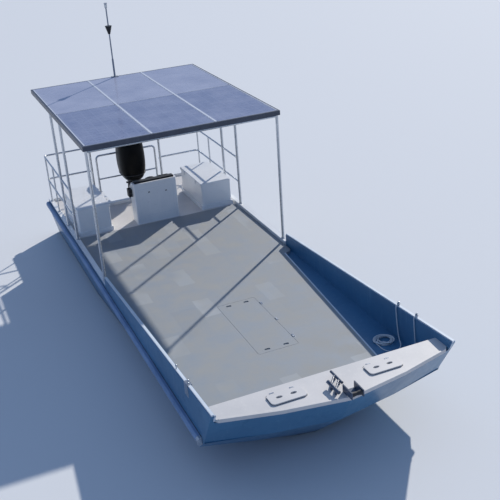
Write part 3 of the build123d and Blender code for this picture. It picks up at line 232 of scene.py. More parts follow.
def solarGlass(name, look):
    # dimpled solar glass over square cells: a pale painted reflection of the sky over them, with the cell
    # grid just showing; the cells' own pale tint is partly painted sky reflection too
    mat, tree, bsdf, at = startMaterial(name, {"IOR": 1.52, "Coat Weight": 0.35, "Coat Roughness": 0.08})
    grid = addNode(tree, "TexBrick", {
        "offset": 0.0, "Scale": 1.0, "Brick Width": look["cell"], "Row Height": look["cell"],
        "Mortar Size": look["gap"], "Bias": 0.0, "Color1": linear(look["cellA"]),
        "Color2": linear(look["cellB"]), "Mortar": linear(look["backSheet"])}, at)
    skyReflection = addNode(tree, "TexNoise", {"Scale": perMetre(look["skyReflectionMm"]), "Detail": 5.0}, at)
    dirt = addNode(tree, "TexNoise", {"Scale": perMetre(look["dirtMm"]), "Detail": 8.0, "Roughness": 0.7}, at)
    along = addNode(tree, "SeparateXYZ", links=at)
    # the aft row takes more of the painted sky reflection, from the seam between the rows on
    before, after = look["rowY"] - look["seam"], look["rowY"] + look["seam"]
    aftReflectionShare = addNode(tree, "MapRange", {"From Min": before, "From Max": after, "To Max": look["aftSkyReflection"]},
                      {"Value": along.outputs[1]})
    patchyReflectionShare = addNode(tree, "MapRange", {"From Min": 0.3, "From Max": 0.7, "To Max": look["patchySkyReflection"]},
                     {"Value": skyReflection.outputs[0]})
    reflectionShare = addNode(tree, "Math", {"operation": "ADD"}, {0: aftReflectionShare.outputs[0], 1: patchyReflectionShare.outputs[0]})
    spots = addNode(tree, "MapRange", {"From Min": 0.6, "From Max": 0.8, "To Max": 0.35},
                    {"Value": dirt.outputs[0]})
    reflected = addNode(tree, "Mix", {"data_type": "RGBA", 7: linear(look["skyReflection"])},
                    {0: reflectionShare.outputs[0], 6: grid.outputs[0]})
    colour = addNode(tree, "Mix", {"data_type": "RGBA", 7: linear(look["dirt"])},
                     {0: spots.outputs[0], 6: reflected.outputs[2]})
    gloss = addNode(tree, "MapRange", {"From Min": 0.3, "From Max": 0.75, "To Min": 0.2, "To Max": 0.42},
                    {"Value": dirt.outputs[0]})
    dimples = addNode(tree, "TexVoronoi", {"Scale": perMetre(look["dimpleMm"])}, at)
    bump = addNode(tree, "Bump", {"Strength": 0.04, "Distance": 0.0004}, {"Height": dimples.outputs[0]})
    linkShader(tree, bsdf, colour.outputs[2], bump, gloss)
    return mat


def laidRope(name, look):
    # three-strand polyester rope, laid and sun-bleached: matt fibres in slanting strands, with painted shade
    # in the grooves between them
    shader = {"Sheen Weight": 0.4, "Sheen Roughness": 0.5, "Roughness": 0.85}
    mat, tree, bsdf, at = startMaterial(name, shader)
    strands = addNode(tree, "TexWave", {"bands_direction": "DIAGONAL", "Scale": perMetre(look["layMm"]) / 2,
                                        "Distortion": 0.6, "Detail": 1.0}, at)
    stains = addNode(tree, "TexNoise", {"Scale": perMetre(look["stainMm"]), "Detail": 6.0}, at)
    shade = addNode(tree, "MapRange", {"From Min": 0.1, "From Max": 0.8}, {"Value": strands.outputs[1]})
    soil = addNode(tree, "MapRange", {"From Min": 0.5, "From Max": 0.75, "To Max": 0.6},
                   {"Value": stains.outputs[0]})
    # the darker colour between the strands is painted shade in the grooves
    fibreAndShade = addNode(tree, "Mix", {"data_type": "RGBA", 6: linear(look["grooveShade"]), 7: linear(look["base"])},
                    {0: shade.outputs[0]})
    colour = addNode(tree, "Mix", {"data_type": "RGBA", 7: linear(look["dirt"])},
                     {0: soil.outputs[0], 6: fibreAndShade.outputs[2]})
    bump = addNode(tree, "Bump", {"Strength": 0.6, "Distance": 0.0015}, {"Height": strands.outputs[1]})
    linkShader(tree, bsdf, colour.outputs[2], bump)
    return mat


gelcoatLooks = {
    "hullGelcoat": {
        "base": "#3A6D94", "chalky": "#457AA1", "faded": "#6A95B4", "dirt": "#27394F",
        # the scum's heights above the waterline, in metres
        "scum": "#252F2C", "scumTop": 0.13, "scumFull": 0.02, "scumRagged": 0.03,
        "coat": 0.3, "rough": 0.32, "streaks": 0.45, "grime": 0.45, "bump": 0.12,
        "depth": 0.004, "patchMm": 900, "streakMm": 70, "grimeMm": 130, "grainMm": 160},
    "deckGelcoat": {
        "base": "#D3D1D0", "chalky": "#C9C8C8", "faded": "#E0DDD9", "dirt": "#9A9A9B",
        "coat": 0.15, "rough": 0.42, "streaks": 0.5, "grime": 0.45, "bump": 0.18,
        "depth": 0.002, "patchMm": 400, "streakMm": 45, "grimeMm": 22, "grainMm": 7},
    "boxGelcoat": {
        "base": "#ECEEEF", "chalky": "#E3E6E9", "faded": "#F5F6F6", "dirt": "#A7ABB0",
        "coat": 0.4, "rough": 0.26, "streaks": 0.35, "grime": 0.35, "bump": 0.1,
        "depth": 0.003, "patchMm": 500, "streakMm": 60, "grimeMm": 70, "grainMm": 90},
    "edgeStrip": {
        "base": "#D6DFE8", "chalky": "#C8D3DE", "faded": "#E6ECF1", "dirt": "#95A1AD",
        "coat": 0.1, "rough": 0.45, "streaks": 0.5, "grime": 0.5, "bump": 0.15,
        "depth": 0.002, "patchMm": 300, "streakMm": 30, "grimeMm": 40, "grainMm": 10},
}
made = {name: gelcoat(name, look) for name, look in gelcoatLooks.items()}
made["deckPaint"] = deckPaint("deckPaint", {
    "base": "#8F979F", "warm": "#9C9D9B", "dirt": "#6C7278",
    "wobbleMm": 140, "wornMm": 900, "cloudMm": 330, "speckMm": 26, "gritMm": 6,
    # length, width, start, tint, strength of each lot of worn plates
    "patches": [(0.52, 0.24, (0.1, 0.03, 0), "#BEC3C6", 0.75), (0.83, 0.36, (0.4, 0.17, 0), "#7D8792", 0.4)]})
made["stainlessTube"] = drawnTube("stainlessTube", {
    "base": "#C9CDD2", "dull": "#9AA0A6", "rough": 0.24, "lineMm": 2, "spotMm": 35})
rubberLooks = {
    "rubRubber": {"base": "#6A88B0", "bleached": "#7F9CC2", "scuffed": "#4A5C78"},
    "rollerRubber": {"base": "#26282B", "bleached": "#3A3D41", "scuffed": "#55585C"},
    "greySeal": {"base": "#767C82", "bleached": "#868C92", "scuffed": "#5A6066"},
}
made.update({name: weatheredRubber(name, look) for name, look in rubberLooks.items()})
enamelColumns = ("base", "dusty", "dust", "dustMm", "coat", "rough", "shine")
enamelLooks = {
    # the cowl's black is its own enamel, darkened further as painted shade from the roof over it
    "cowlEnamel": ("#060708", "#0E1013", 0.3, 160, 0.06, 0.34, 0.1),
    "bracketEnamel": ("#25272B", "#55585C", 0.4, 60, 0.4, 0.35, 0.5),
    "bittEnamel": ("#33465F", "#5E7088", 0.45, 40, 0.3, 0.35, 0.5),
    "roofAluminium": ("#3A4252", "#5D6675", 0.4, 120, 0.2, 0.38, 0.5),
    "mouldedPlastic": ("#191A1C", "#3B3D40", 0.4, 50, 0.1, 0.45, 0.4),
    "mastPaint": ("#8B929A", "#B4BAC0", 0.5, 80, 0.1, 0.4, 0.5),
    "lampHousing": ("#C9CBCC", "#8F9294", 0.4, 30, 0.3, 0.3, 0.5),
    "whiteStrip": ("#CDD4E2", "#A7AFBF", 0.4, 90, 0.1, 0.4, 0.5),
    "castBlade": ("#8C8F92", "#5F6366", 0.5, 40, 0.1, 0.3, 0.5),
    "darkGlass": ("#0E1114", "#2A2E33", 0.25, 30, 1.0, 0.1, 0.5),
    "lampLens": ("#E9E6DC", "#B9B6AC", 0.3, 15, 0.9, 0.12, 0.5),
    "panelRim": ("#A9B1C2", "#8C94A4", 0.3, 90, 0.2, 0.35, 0.5),
}
made.update({name: enamel(name, dict(zip(enamelColumns, row))) for name, row in enamelLooks.items()})
low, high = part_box("solar_panels")
# the cells' colours are partly painted sky reflection, and the pale colour mixed over them is a painted sky
# reflection
made["solarGlass"] = solarGlass("solarGlass", {
    "cell": 0.158, "gap": 0.004, "cellA": "#717B9C", "cellB": "#7680A1", "backSheet": "#8892B0",
    "rowY": (low.y + high.y) / 2, "seam": 0.003, "aftSkyReflection": 0.6, "patchySkyReflection": 0.4, "skyReflection": "#ABB0C6",
    "dirt": "#B3B7C6", "skyReflectionMm": 420, "dirtMm": 60, "dimpleMm": 4})
made["laidRope"] = laidRope("laidRope", {
    "base": "#E6EAEE", "grooveShade": "#B3B9BF", "dirt": "#BFC2C3", "layMm": 12, "stainMm": 90})

wears = {
    "hullGelcoat": ["hull", "bow", "bulwark_port", "bulwark_starboard"],
    "deckPaint": ["work_deck", "hold_lid"],
    "deckGelcoat": ["foredeck", "foredeck_hatch_port", "foredeck_hatch_starboard", "aft_deck"],
    "boxGelcoat": ["storage_box_port", "storage_box_starboard", "box_lid_port", "box_lid_starboard",
                   "console", "side_deck_port", "side_deck_starboard", "well_coaming"],
    "mouldedPlastic": ["dash", "throttle", "helm_wheel", "day_shape"],
    "stainlessTube": [n for n in nodes if n.startswith(("post_", "quarter_rail", "gunwale_knobs"))]
    + ["engine_hoop", "roof_tubes"],
    "rubRubber": ["rub_rail_port", "rub_rail_starboard"],
    "rollerRubber": ["bow_roller"],
    "edgeStrip": ["gunwale_trim_port", "gunwale_trim_starboard"],
    "whiteStrip": ["panel_strips"],
    "bittEnamel": ["bitt", "bow_chock"],
    "roofAluminium": ["roof_frame"],
    "solarGlass": ["solar_panels"],
    "mastPaint": ["mast"],
    "lampHousing": ["mast_lamp"],
    "cowlEnamel": ["cowl", "leg", "gearcase"],
    "bracketEnamel": ["clamp_bracket", "swivel_bracket"],
    "castBlade": ["propeller"],
    "laidRope": ["rope_long", "rope_short", "rope_coil"],
}
for name, members in wears.items():
    for member in members:
        for holder in nodes[member].material_slots:
            holder.material = made[name]
print("stage 2:", len(made), "materials on the CAD nodes")


# small pieces that the part's solids leave to the scene
def addPiece(name, data, body, material, smooth=False):
    data.materials.append(made[material])
    if smooth:
        for face in data.polygons:
            face.use_smooth = True
    piece = addObject(name, data)
    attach(piece, body)
    return piece


def fromBmesh(name, bm, body, material, bevelMm=0.0, smooth=False):
    mesh = bpy.data.meshes.new(name)
    bmesh.ops.recalc_face_normals(bm, faces=bm.faces)
    bm.to_mesh(mesh)
    bm.free()
    piece = addPiece(name, mesh, body, material, smooth)
    if bevelMm:
        edge = piece.modifiers.new("softEdge", "BEVEL")
        edge.width, edge.segments, edge.limit_method = bevelMm / 1000, 2, "ANGLE"
    return piece


def addSlab(bm, centre, size, turn=None):
    spin = turn if turn is not None else Matrix.Identity(4)
    place = Matrix.Translation(centre) @ spin @ Matrix.Diagonal((*size, 1.0))
    bmesh.ops.create_cube(bm, size=1.0, matrix=place)


def addStub(bm, start, end, radius, sides=16, endRadius=None):
    a, b = Vector(start), Vector(end)
    turn = (b - a).to_track_quat("Z", "Y").to_matrix().to_4x4()
    bmesh.ops.create_cone(bm, cap_ends=True, segments=sides, radius1=radius,
                          radius2=radius if endRadius is None else endRadius, depth=(b - a).length,
                          matrix=Matrix.Translation((a + b) / 2) @ turn)


def addPrism(bm, ahead, behind):
    rows = [[bm.verts.new(place) for place in ring] for ring in (ahead, behind)]
    for i in range(len(ahead)):
        j = (i + 1) % len(ahead)
        bm.faces.new((rows[0][i], rows[0][j], rows[1][j], rows[1][i]))
    bm.faces.new(rows[0])
    bm.faces.new(rows[1])


def tubeAlong(name, points, radius, body, material, closed=False):
    curve = bpy.data.curves.new(name, "CURVE")
    curve.dimensions, curve.bevel_depth, curve.bevel_resolution, curve.use_fill_caps = "3D", radius, 3, True
    line = curve.splines.new("POLY")
    line.points.add(len(points) - 1)
    for point, place in zip(line.points, points):
        point.co = (*place, 1)
    line.use_cyclic_u = closed
    return addPiece(name, curve, body, material)


def roundedLoop(low, high, grow, z, corner, steps=6):
    loop = []
    x0, x1, y0, y1 = low.x - grow, high.x + grow, low.y - grow, high.y + grow
    for cx, cy, start in ((x1 - corner, y1 - corner, 0), (x0 + corner, y1 - corner, 90),
                          (x0 + corner, y0 + corner, 180), (x1 - corner, y0 + corner, 270)):
        for i in range(steps + 1):
            a = radians(start + 90 * i / steps)
            loop.append((cx + corner * cos(a), cy + corner * sin(a), z))
    return loop


# ropes: each is one smooth line through its route, and a coil's turns are more points of it
ropeLook = {"diameter": 0.014, "stem": 0.008, "knobX": 1.467, "exitX": 1.459, "hangX": 1.425, "floor": 0.6173,
            "hitchDegrees": 540, "hitchRise": 0.0145}
coilLook = {"centre": (1.262, -2.87), "points": 16, "sway": 0.009, "drift": 0.6,
            # where each turn starts: its radius, its middle's offset to port and aft, its height
            "turns": ((0.126, 0.0, 0.0, 0.0), (0.103, 0.004, -0.003, 0.0), (0.081, 0.0, 0.004, 0.0),
                      (0.097, -0.02, 0.014, 0.0135), (0.119, -0.016, 0.01, 0.0135),
                      (0.101, 0.019, -0.016, 0.0275), (0.079, 0.014, -0.02, 0.0275))}


def coilTurns(look, floorZ):
    route = []
    for turn, (start, end) in enumerate(zip(look["turns"], look["turns"][1:])):
        for i in range(look["points"]):
            t = i / look["points"]
            a = pi - 2 * pi * t
            r, toPort, toAft = [p + (q - p) * t for p, q in zip(start[:3], end[:3])]
            r += look["sway"] * sin(2 * a + look["drift"] * (turn + t))
            rise = start[3] + (end[3] - start[3]) * min(1, 4 * t)      # climbed in a quarter of a turn
            route.append((look["centre"][0] + toPort + r * cos(a), look["centre"][1] + toAft + r * sin(a),
                          floorZ + rise))
    return route


def layRope(name, route, solids):
    curve = bpy.data.curves.new(name, "CURVE")
    curve.dimensions, curve.bevel_depth, curve.bevel_resolution = "3D", ropeLook["diameter"] / 2, 3
    curve.use_fill_caps, curve.resolution_u = True, 6
    line = curve.splines.new("NURBS")
    line.points.add(len(route) - 1)
    for point, place in zip(line.points, route):
        point.co = (*place, 1)
    line.order_u = 3
    line.use_endpoint_u = True
    rope = addPiece(name, curve, "boat", "laidRope")
    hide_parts(*solids)
    # a turn and a half round the knob's stem
    r = ropeLook["stem"] + ropeLook["diameter"] / 2
    y, z = route[0][1:]
    turns = [(ropeLook["knobX"] + r * cos(radians(a)), y + r * sin(radians(a)),
              z + ropeLook["hitchRise"] * a / 360) for a in range(0, ropeLook["hitchDegrees"], 30)]
    hitch = tubeAlong(name + "Hitch", turns, ropeLook["diameter"] / 2, "boat", "laidRope")


exitX, hangX, floorZ = ropeLook["exitX"], ropeLook["hangX"], ropeLook["floor"]
y, z = -2.87, 1.0778
layRope("longRope", [(exitX, y, z), (hangX, y, z), (1.424, y - 0.01, z - 0.064),
                     (1.423, y - 0.026, z - 0.18), (1.42, y - 0.06, 0.745), (1.414, y - 0.1, 0.65),
                     (1.394, y - 0.176, floorZ), (1.342, y - 0.246, floorZ), (1.262, y - 0.282, floorZ),
                     (1.18, y - 0.256, floorZ), (1.136, y - 0.178, floorZ), (1.136, -2.96, floorZ)]
        + coilTurns(coilLook, floorZ), ["rope_long", "rope_coil"])
y, z = -3.27, 1.1085
layRope("shortRope", [(exitX, y, z), (hangX, y, z), (1.424, y - 0.008, z - 0.065),
                      (1.423, y - 0.024, z - 0.19), (1.42, y - 0.048, 0.775), (1.412, y - 0.084, 0.66),
                      (1.394, y - 0.158, floorZ), (1.352, y - 0.232, floorZ), (1.28, y - 0.276, floorZ),
                      (1.192, y - 0.262, floorZ)],
        ["rope_short"])
print("stage 3: two ropes, one coiled")

# foredeck hatches: a proud lid over a dark gasket, which also stands as painted shadow under the lid's edge,
# a ring in each hand recess, hinges along the aft edge
sides = {"port": 1, "starboard": -1}
hatchLook = {"corner": 0.044, "hingeRoom": 0.014, "seal": 0.0055, "sealIn": 0.005, "sealUp": 0.002,
             "topIn": 0.001, "topFoot": 0.003, "proud": 0.016, "recessX": 0.085, "recessHalf": (0.038, 0.02),
             "ring": 0.003, "ringHalf": (0.024, 0.009), "hingeX": 0.12, "leaf": (0.055, 0.018, 0.004),
             "leafAft": 0.017, "knuckle": 0.0042, "knuckleHalf": 0.025, "knuckleAft": 0.0068}


def oval(cx, cy, half, z, step=15):
    return [(cx + half[0] * cos(radians(a)), cy + half[1] * sin(radians(a)), z) for a in range(0, 360, step)]


for word in sides:
    body = "hatch_" + word
    low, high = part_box("foredeck_hatch_" + word)
    cx, cy = (low.x + high.x) / 2, (low.y + high.y) / 2
    aft = Vector((high.x, high.y - hatchLook["hingeRoom"], high.z))
    # the black gasket is partly a real seal and partly painted shadow of the lid's raised edge
    gasket = roundedLoop(low, aft, -hatchLook["sealIn"], high.z + hatchLook["sealUp"], hatchLook["corner"])
    tubeAlong("hatchGasketShade_" + word, gasket, hatchLook["seal"], body, "rollerRubber", closed=True)
    bm = bmesh.new()
    edges = []
    foot = high.z + hatchLook["topFoot"]
    outline = roundedLoop(low, aft, -hatchLook["topIn"], foot, hatchLook["corner"])
    holes = [oval(cx + place * hatchLook["recessX"], cy, hatchLook["recessHalf"], foot) for place in (-1, 1)]
    for loop in [outline] + holes:
        ring = [bm.verts.new(place) for place in loop]
        edges += [bm.edges.new(pair) for pair in zip(ring, ring[1:] + ring[:1])]
    bmesh.ops.triangle_fill(bm, use_beauty=True, edges=edges)
    raised = bmesh.ops.extrude_face_region(bm, geom=bm.faces[:])["geom"]
    top = [item for item in raised if isinstance(item, bmesh.types.BMVert)]
    bmesh.ops.translate(bm, verts=top, vec=(0, 0, hatchLook["proud"]))
    fromBmesh("hatchTop_" + word, bm, body, "deckGelcoat", bevelMm=2.5)
    for place, which in ((-1, "inboard"), (1, "outboard")):
        ring = oval(cx + place * hatchLook["recessX"], cy, hatchLook["ringHalf"], high.z, step=30)
        tubeAlong(f"hatchRing_{word}_{which}", ring, hatchLook["ring"], body, "stainlessTube", closed=True)
    bm = bmesh.new()
    thick, half = hatchLook["leaf"][2], hatchLook["knuckleHalf"]
    for place in (-1, 1):
        x, y, z = cx + place * hatchLook["hingeX"], high.y + hatchLook["knuckleAft"], high.z + thick
        addSlab(bm, (x, high.y + hatchLook["leafAft"], high.z + thick / 2), hatchLook["leaf"])
        addStub(bm, (x - half, y, z), (x + half, y, z), hatchLook["knuckle"])
    fromBmesh("hatchHinges_" + word, bm, "boat", "stainlessTube", bevelMm=0.8)

# hold lid: a grey seal in the gap round it, and three hinges on its port edge
holdLook = {"seal": 0.0022, "corner": 0.028, "grow": 0.0025, "drop": 0.003, "hingeYs": (-0.5, 0.0, 0.5),
            "leaf": (0.026, 0.07, 0.004), "leafOut": 0.022, "knuckle": 0.0045, "knuckleHalf": 0.03,
            "knuckleOut": 0.011}
low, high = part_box("hold_lid")
gap = roundedLoop(low, high, holdLook["grow"], high.z - holdLook["drop"], holdLook["corner"])
tubeAlong("holdSeal", gap, holdLook["seal"], "boat", "greySeal", closed=True)
bm = bmesh.new()
thick, half = holdLook["leaf"][2], holdLook["knuckleHalf"]
x, z = high.x + holdLook["knuckleOut"], high.z + thick
for offset in holdLook["hingeYs"]:
    y = (low.y + high.y) / 2 + offset
    addSlab(bm, (high.x + holdLook["leafOut"], y, high.z + thick / 2), holdLook["leaf"])
    addStub(bm, (x, y - half, z), (x, y + half, z), holdLook["knuckle"])
fromBmesh("holdHinges", bm, "boat", "stainlessTube", bevelMm=0.8)

# storage boxes: hinges outboard, over-centre latches inboard
boxLook = {"hinges": (-0.33, 0.33), "leaf": (0.004, 0.06, 0.04), "leafOut": 0.0015, "leafDown": 0.022,
           "knuckle": 0.006, "knuckleHalf": 0.035, "knuckleOut": 0.0063, "knuckleDown": 0.007,
           "latches": (-0.28, 0.28), "latch": (0.006, 0.042, 0.075), "latchIn": 0.004, "latchUp": 0.008,
           "bail": 0.006, "bailHalf": 0.021, "bailIn": 0.008, "bailUp": 0.03}
for word, side in sides.items():
    low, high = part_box("box_lid_" + word)
    middle = (low.y + high.y) / 2
    inboard, outboard = side * min(abs(low.x), abs(high.x)), side * max(abs(low.x), abs(high.x))
    bm = bmesh.new()
    x, z = outboard + side * boxLook["knuckleOut"], low.z - boxLook["knuckleDown"]
    half = boxLook["knuckleHalf"]
    for offset in boxLook["hinges"]:
        y = middle + offset
        addStub(bm, (x, y - half, z), (x, y + half, z), boxLook["knuckle"])
        addSlab(bm, (outboard + side * boxLook["leafOut"], y, low.z - boxLook["leafDown"]), boxLook["leaf"])
    fromBmesh("boxHinges_" + word, bm, "boat", "stainlessTube", bevelMm=0.8)
    bm = bmesh.new()
    x, z = inboard - side * boxLook["bailIn"], low.z + boxLook["bailUp"]
    half = boxLook["bailHalf"]
    for offset in boxLook["latches"]:
        y = middle + offset
        addSlab(bm, (inboard - side * boxLook["latchIn"], y, low.z + boxLook["latchUp"]), boxLook["latch"])
        addStub(bm, (x, y - half, z), (x, y + half, z), boxLook["bail"])
    fromBmesh("boxLatches_" + word, bm, "lid_" + word, "stainlessTube", bevelMm=1.2)

# helm: gauges with plain marks, a screen and a row of rockers on the sloping dash
dashLook = {"fall": 0.09, "run": 0.11,
            "gauges": (-0.22, -0.09, 0.04), "gaugeDown": 0.052, "gaugeRadius": 0.036, "sunk": 0.003,
            "bezel": 0.008, "bezelTaper": 0.93, "dialShare": 0.82, "dial": 0.009, "markShare": 0.66,
            "mark": (0.002, 0.007, 0.001), "markUp": 0.0094, "needle": (0.002, 0.026, 0.001),
            "needleAt": (0.005, -0.008, 0.01), "needleTurn": 0.6,
            # places on the slope: across, and down from its crown
            "screenAt": (0.2, 0.055), "case": (0.17, 0.07, 0.02), "caseUp": 0.008,
            "screen": (0.1496, 0.0574, 0.002), "screenUp": 0.0185,
            "rockers": 6, "rockerPitch": 0.036, "rockersAt": (-0.09, 0.118), "rocker": (0.024, 0.016, 0.01),
            "rockerUp": 0.004, "rockerTilt": 0.12}
low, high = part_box("dash")
spin = Vector((0, dashLook["run"], -dashLook["fall"])).to_track_quat("Y", "Z").to_matrix().to_4x4()
down, up = spin @ Vector((0, 1, 0)), spin @ Vector((0, 0, 1))
crown = Vector((0, high.y - dashLook["run"], high.z))
bezels, dials, marks = bmesh.new(), bmesh.new(), bmesh.new()
r = dashLook["gaugeRadius"]
for x in dashLook["gauges"]:
    at = crown + down * dashLook["gaugeDown"] + Vector((x, 0, 0))
    foot, top = at - up * dashLook["sunk"], at + up * dashLook["bezel"]
    addStub(bezels, foot, top, r, 28, r * dashLook["bezelTaper"])
    addStub(dials, at, at + up * dashLook["dial"], r * dashLook["dialShare"], 28)
    for i in range(9):
        a = radians(-120 + 30 * i)
        mid = at + up * dashLook["markUp"] + spin @ Vector((sin(a), -cos(a), 0)) * r * dashLook["markShare"]
        addSlab(marks, mid, dashLook["mark"], spin @ Matrix.Rotation(-a, 4, "Z"))
    addSlab(marks, at + spin @ Vector(dashLook["needleAt"]), dashLook["needle"],
            spin @ Matrix.Rotation(dashLook["needleTurn"], 4, "Z"))
x, drop = dashLook["screenAt"]
at = crown + down * drop + Vector((x, 0, 0))
addSlab(bezels, at + up * dashLook["caseUp"], dashLook["case"], spin)
addSlab(dials, at + up * dashLook["screenUp"], dashLook["screen"], spin)
x, drop = dashLook["rockersAt"]
for i in range(dashLook["rockers"]):
    across = (i - (dashLook["rockers"] - 1) / 2) * dashLook["rockerPitch"]
    at = crown + down * drop + Vector((x + across, 0, 0))
    addSlab(bezels, at + up * dashLook["rockerUp"], dashLook["rocker"],
            spin @ Matrix.Rotation(dashLook["rockerTilt"], 4, "X"))
fromBmesh("dashBezels", bezels, "boat", "mouldedPlastic", bevelMm=1.2)
fromBmesh("dashDials", dials, "boat", "darkGlass", bevelMm=0.4)
fromBmesh("dashMarks", marks, "boat", "lampHousing")

# the console's front: two small catches of its access panel, and the panel's thin pale seam
consoleLook = {"catches": ((-0.122, 1.195), (0.177, 1.167)), "catch": (0.03, 0.006, 0.016),
               "catchOut": 0.0028, "seam": 0.0016,
               "panel": (0.3, 0.78, 1.26)}      # half its width, the heights of its bottom and top
low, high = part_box("console")
bm = bmesh.new()
for x, z in consoleLook["catches"]:
    addSlab(bm, (x, low.y - consoleLook["catchOut"], z), consoleLook["catch"])
fromBmesh("consoleCatches", bm, "boat", "mouldedPlastic", bevelMm=1.5)
half, bottom, top = consoleLook["panel"]
seam = [(x, low.y, z) for x, z in ((half, bottom), (half, top), (-half, top), (-half, bottom))]
tubeAlong("consoleSeam", seam, consoleLook["seam"], "boat", "edgeStrip", closed=True)

# the steering wheel: a round rim with shallow finger grips, over three flat spokes
wheelLook = {"radius": 0.17, "rim": 0.0138, "rimIn": 0.0135, "flatten": 0.88, "round": 120, "across": 14,
             "grips": 40, "gripDepth": 0.0012, "spoke": (0.15, 0.008, 0.026), "spokeReach": 0.095,
             "hub": 0.034, "hubHalf": 0.012, "shaft": 0.0135, "cap": 0.024, "capTaper": 0.9,
             "capFrom": 0.0115, "capTo": 0.0133}
low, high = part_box("helm_wheel")
hub = Vector((0, high.y - wheelLook["rimIn"], (low.z + high.z) / 2))
bm = bmesh.new()
rings = []
for i in range(wheelLook["round"]):
    a = 2 * pi * i / wheelLook["round"]
    tube = wheelLook["rim"] - wheelLook["gripDepth"] * (0.5 + 0.5 * cos(wheelLook["grips"] * a))
    ring = []
    for k in range(wheelLook["across"]):
        b = 2 * pi * k / wheelLook["across"]
        reach = wheelLook["radius"] + tube * cos(b)
        bulge = tube * sin(b) * wheelLook["flatten"]
        ring.append(bm.verts.new((reach * cos(a), hub.y + bulge, hub.z + reach * sin(a))))
    rings.append(ring)
for ring, following in zip(rings, rings[1:] + rings[:1]):
    for k in range(wheelLook["across"]):
        j = (k + 1) % wheelLook["across"]
        bm.faces.new((ring[k], ring[j], following[j], following[k]))
rim = fromBmesh("wheelRim", bm, "helm", "mouldedPlastic", smooth=True)
bm = bmesh.new()
for degrees in (90, 210, 330):
    a = -radians(degrees)
    middle = hub + Vector((cos(a), 0, sin(a))) * wheelLook["spokeReach"]
    addSlab(bm, middle, wheelLook["spoke"], Matrix.Rotation(-a, 4, "Y"))
along = Vector((0, 1, 0))
addStub(bm, hub - along * wheelLook["hubHalf"], hub + along * wheelLook["hubHalf"], wheelLook["hub"], 32)
addStub(bm, (0, low.y, hub.z), hub, wheelLook["shaft"], 20)
fromBmesh("wheelSpokes", bm, "helm", "stainlessTube", bevelMm=1.5)
bm = bmesh.new()
addStub(bm, hub + along * wheelLook["capFrom"], hub + along * wheelLook["capTo"], wheelLook["cap"], 32,
        wheelLook["cap"] * wheelLook["capTaper"])
fromBmesh("wheelCap", bm, "helm", "mouldedPlastic", bevelMm=0.6)
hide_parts("helm_wheel")

# bolts through the flanges under the posts
flangeLook = {"bolts": 4, "circle": 0.0275, "radius": 0.0042, "height": 0.004, "plate": 0.008}
bm = bmesh.new()
for node in nodes:
    if node.startswith("post_"):
        low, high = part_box(node)
        cx, cy = (low.x + high.x) / 2, (low.y + high.y) / 2
        for i in range(flangeLook["bolts"]):
            a = radians(45 + 90 * i)
            at = Vector((cx + flangeLook["circle"] * cos(a), cy + flangeLook["circle"] * sin(a),
                         low.z + flangeLook["plate"]))
            addStub(bm, at, at + Vector((0, 0, flangeLook["height"])), flangeLook["radius"], 6)
fromBmesh("flangeBolts", bm, "boat", "stainlessTube", bevelMm=0.5)

# rub rails: steel end caps, bolt heads, and dark beads of sealant along the top and bottom edges, drawn dark
# as painted shade of the gaps there
rubLook = {"over": 0.002, "shoulder": (0.022, 0.02), "capAhead": 0.004, "capLength": 0.05,
           "boltFirst": 0.2, "boltLast": 0.1, "boltPitch": 0.32, "boltRadius": 0.007, "boltSunk": 0.004,
           "boltHead": 0.0015, "bead": 0.0045, "beadOut": 0.001, "beadEnds": (0.01, 0.005)}
for word, side in sides.items():
    low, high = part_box("rub_rail_" + word)
    back, outer = side * min(abs(low.x), abs(high.x)), side * max(abs(low.x), abs(high.x))
    over = rubLook["over"]
    inward, upward = rubLook["shoulder"]
    bottom, middle, top, shoulder = low.z - over, (low.z + high.z) / 2, high.z + over, outer - side * inward
    section = [(back, bottom), (shoulder, bottom), (outer, low.z + upward), (outer + side * over, middle),
               (outer, high.z - upward), (shoulder, top), (back, top)]
    ends = (low.y - rubLook["capAhead"], low.y + rubLook["capLength"])
    bm = bmesh.new()
    addPrism(bm, *[[(x, y, z) for x, z in section] for y in ends])
    fromBmesh("rubEndCap_" + word, bm, "boat", "stainlessTube", bevelMm=2.0)
    bm = bmesh.new()
    inside, outside = outer - side * rubLook["boltSunk"], outer + side * rubLook["boltHead"]
    y = low.y + rubLook["boltFirst"]
    while y < high.y - rubLook["boltLast"]:
        addStub(bm, (inside, y, middle), (outside, y, middle), rubLook["boltRadius"], 10)
        y += rubLook["boltPitch"]
    fromBmesh("rubBolts_" + word, bm, "boat", "stainlessTube", bevelMm=0.6)
    # the near-black beads stand as painted shade where the rail meets the hull
    x = back + side * rubLook["beadOut"]
    ahead, behind = rubLook["beadEnds"]
    for place, z in (("upper", top), ("lower", bottom)):
        run = [(x, low.y + ahead, z), (x, high.y - behind, z)]
        tubeAlong(f"rubShadeBead_{word}_{place}", run, rubLook["bead"], "boat", "rollerRubber")

# a worn light nosing along the work deck's tapering port edge
edgeLook = {"width": 0.02, "height": 0.004, "inset": 0.012, "fore": (0.935, -3.694), "step": (1.29, 0.06)}
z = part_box("work_deck")[1].z
ahead, behind = [Vector((x - edgeLook["inset"], y, z)) for x, y in (edgeLook["fore"], edgeLook["step"])]
run = behind - ahead
bm = bmesh.new()
addSlab(bm, (ahead + behind) / 2 + Vector((0, 0, edgeLook["height"] / 2)),
        (edgeLook["width"], run.length, edgeLook["height"]), run.to_track_quat("Y", "Z").to_matrix().to_4x4())
fromBmesh("deckNosing", bm, "boat", "edgeStrip", bevelMm=1.0)

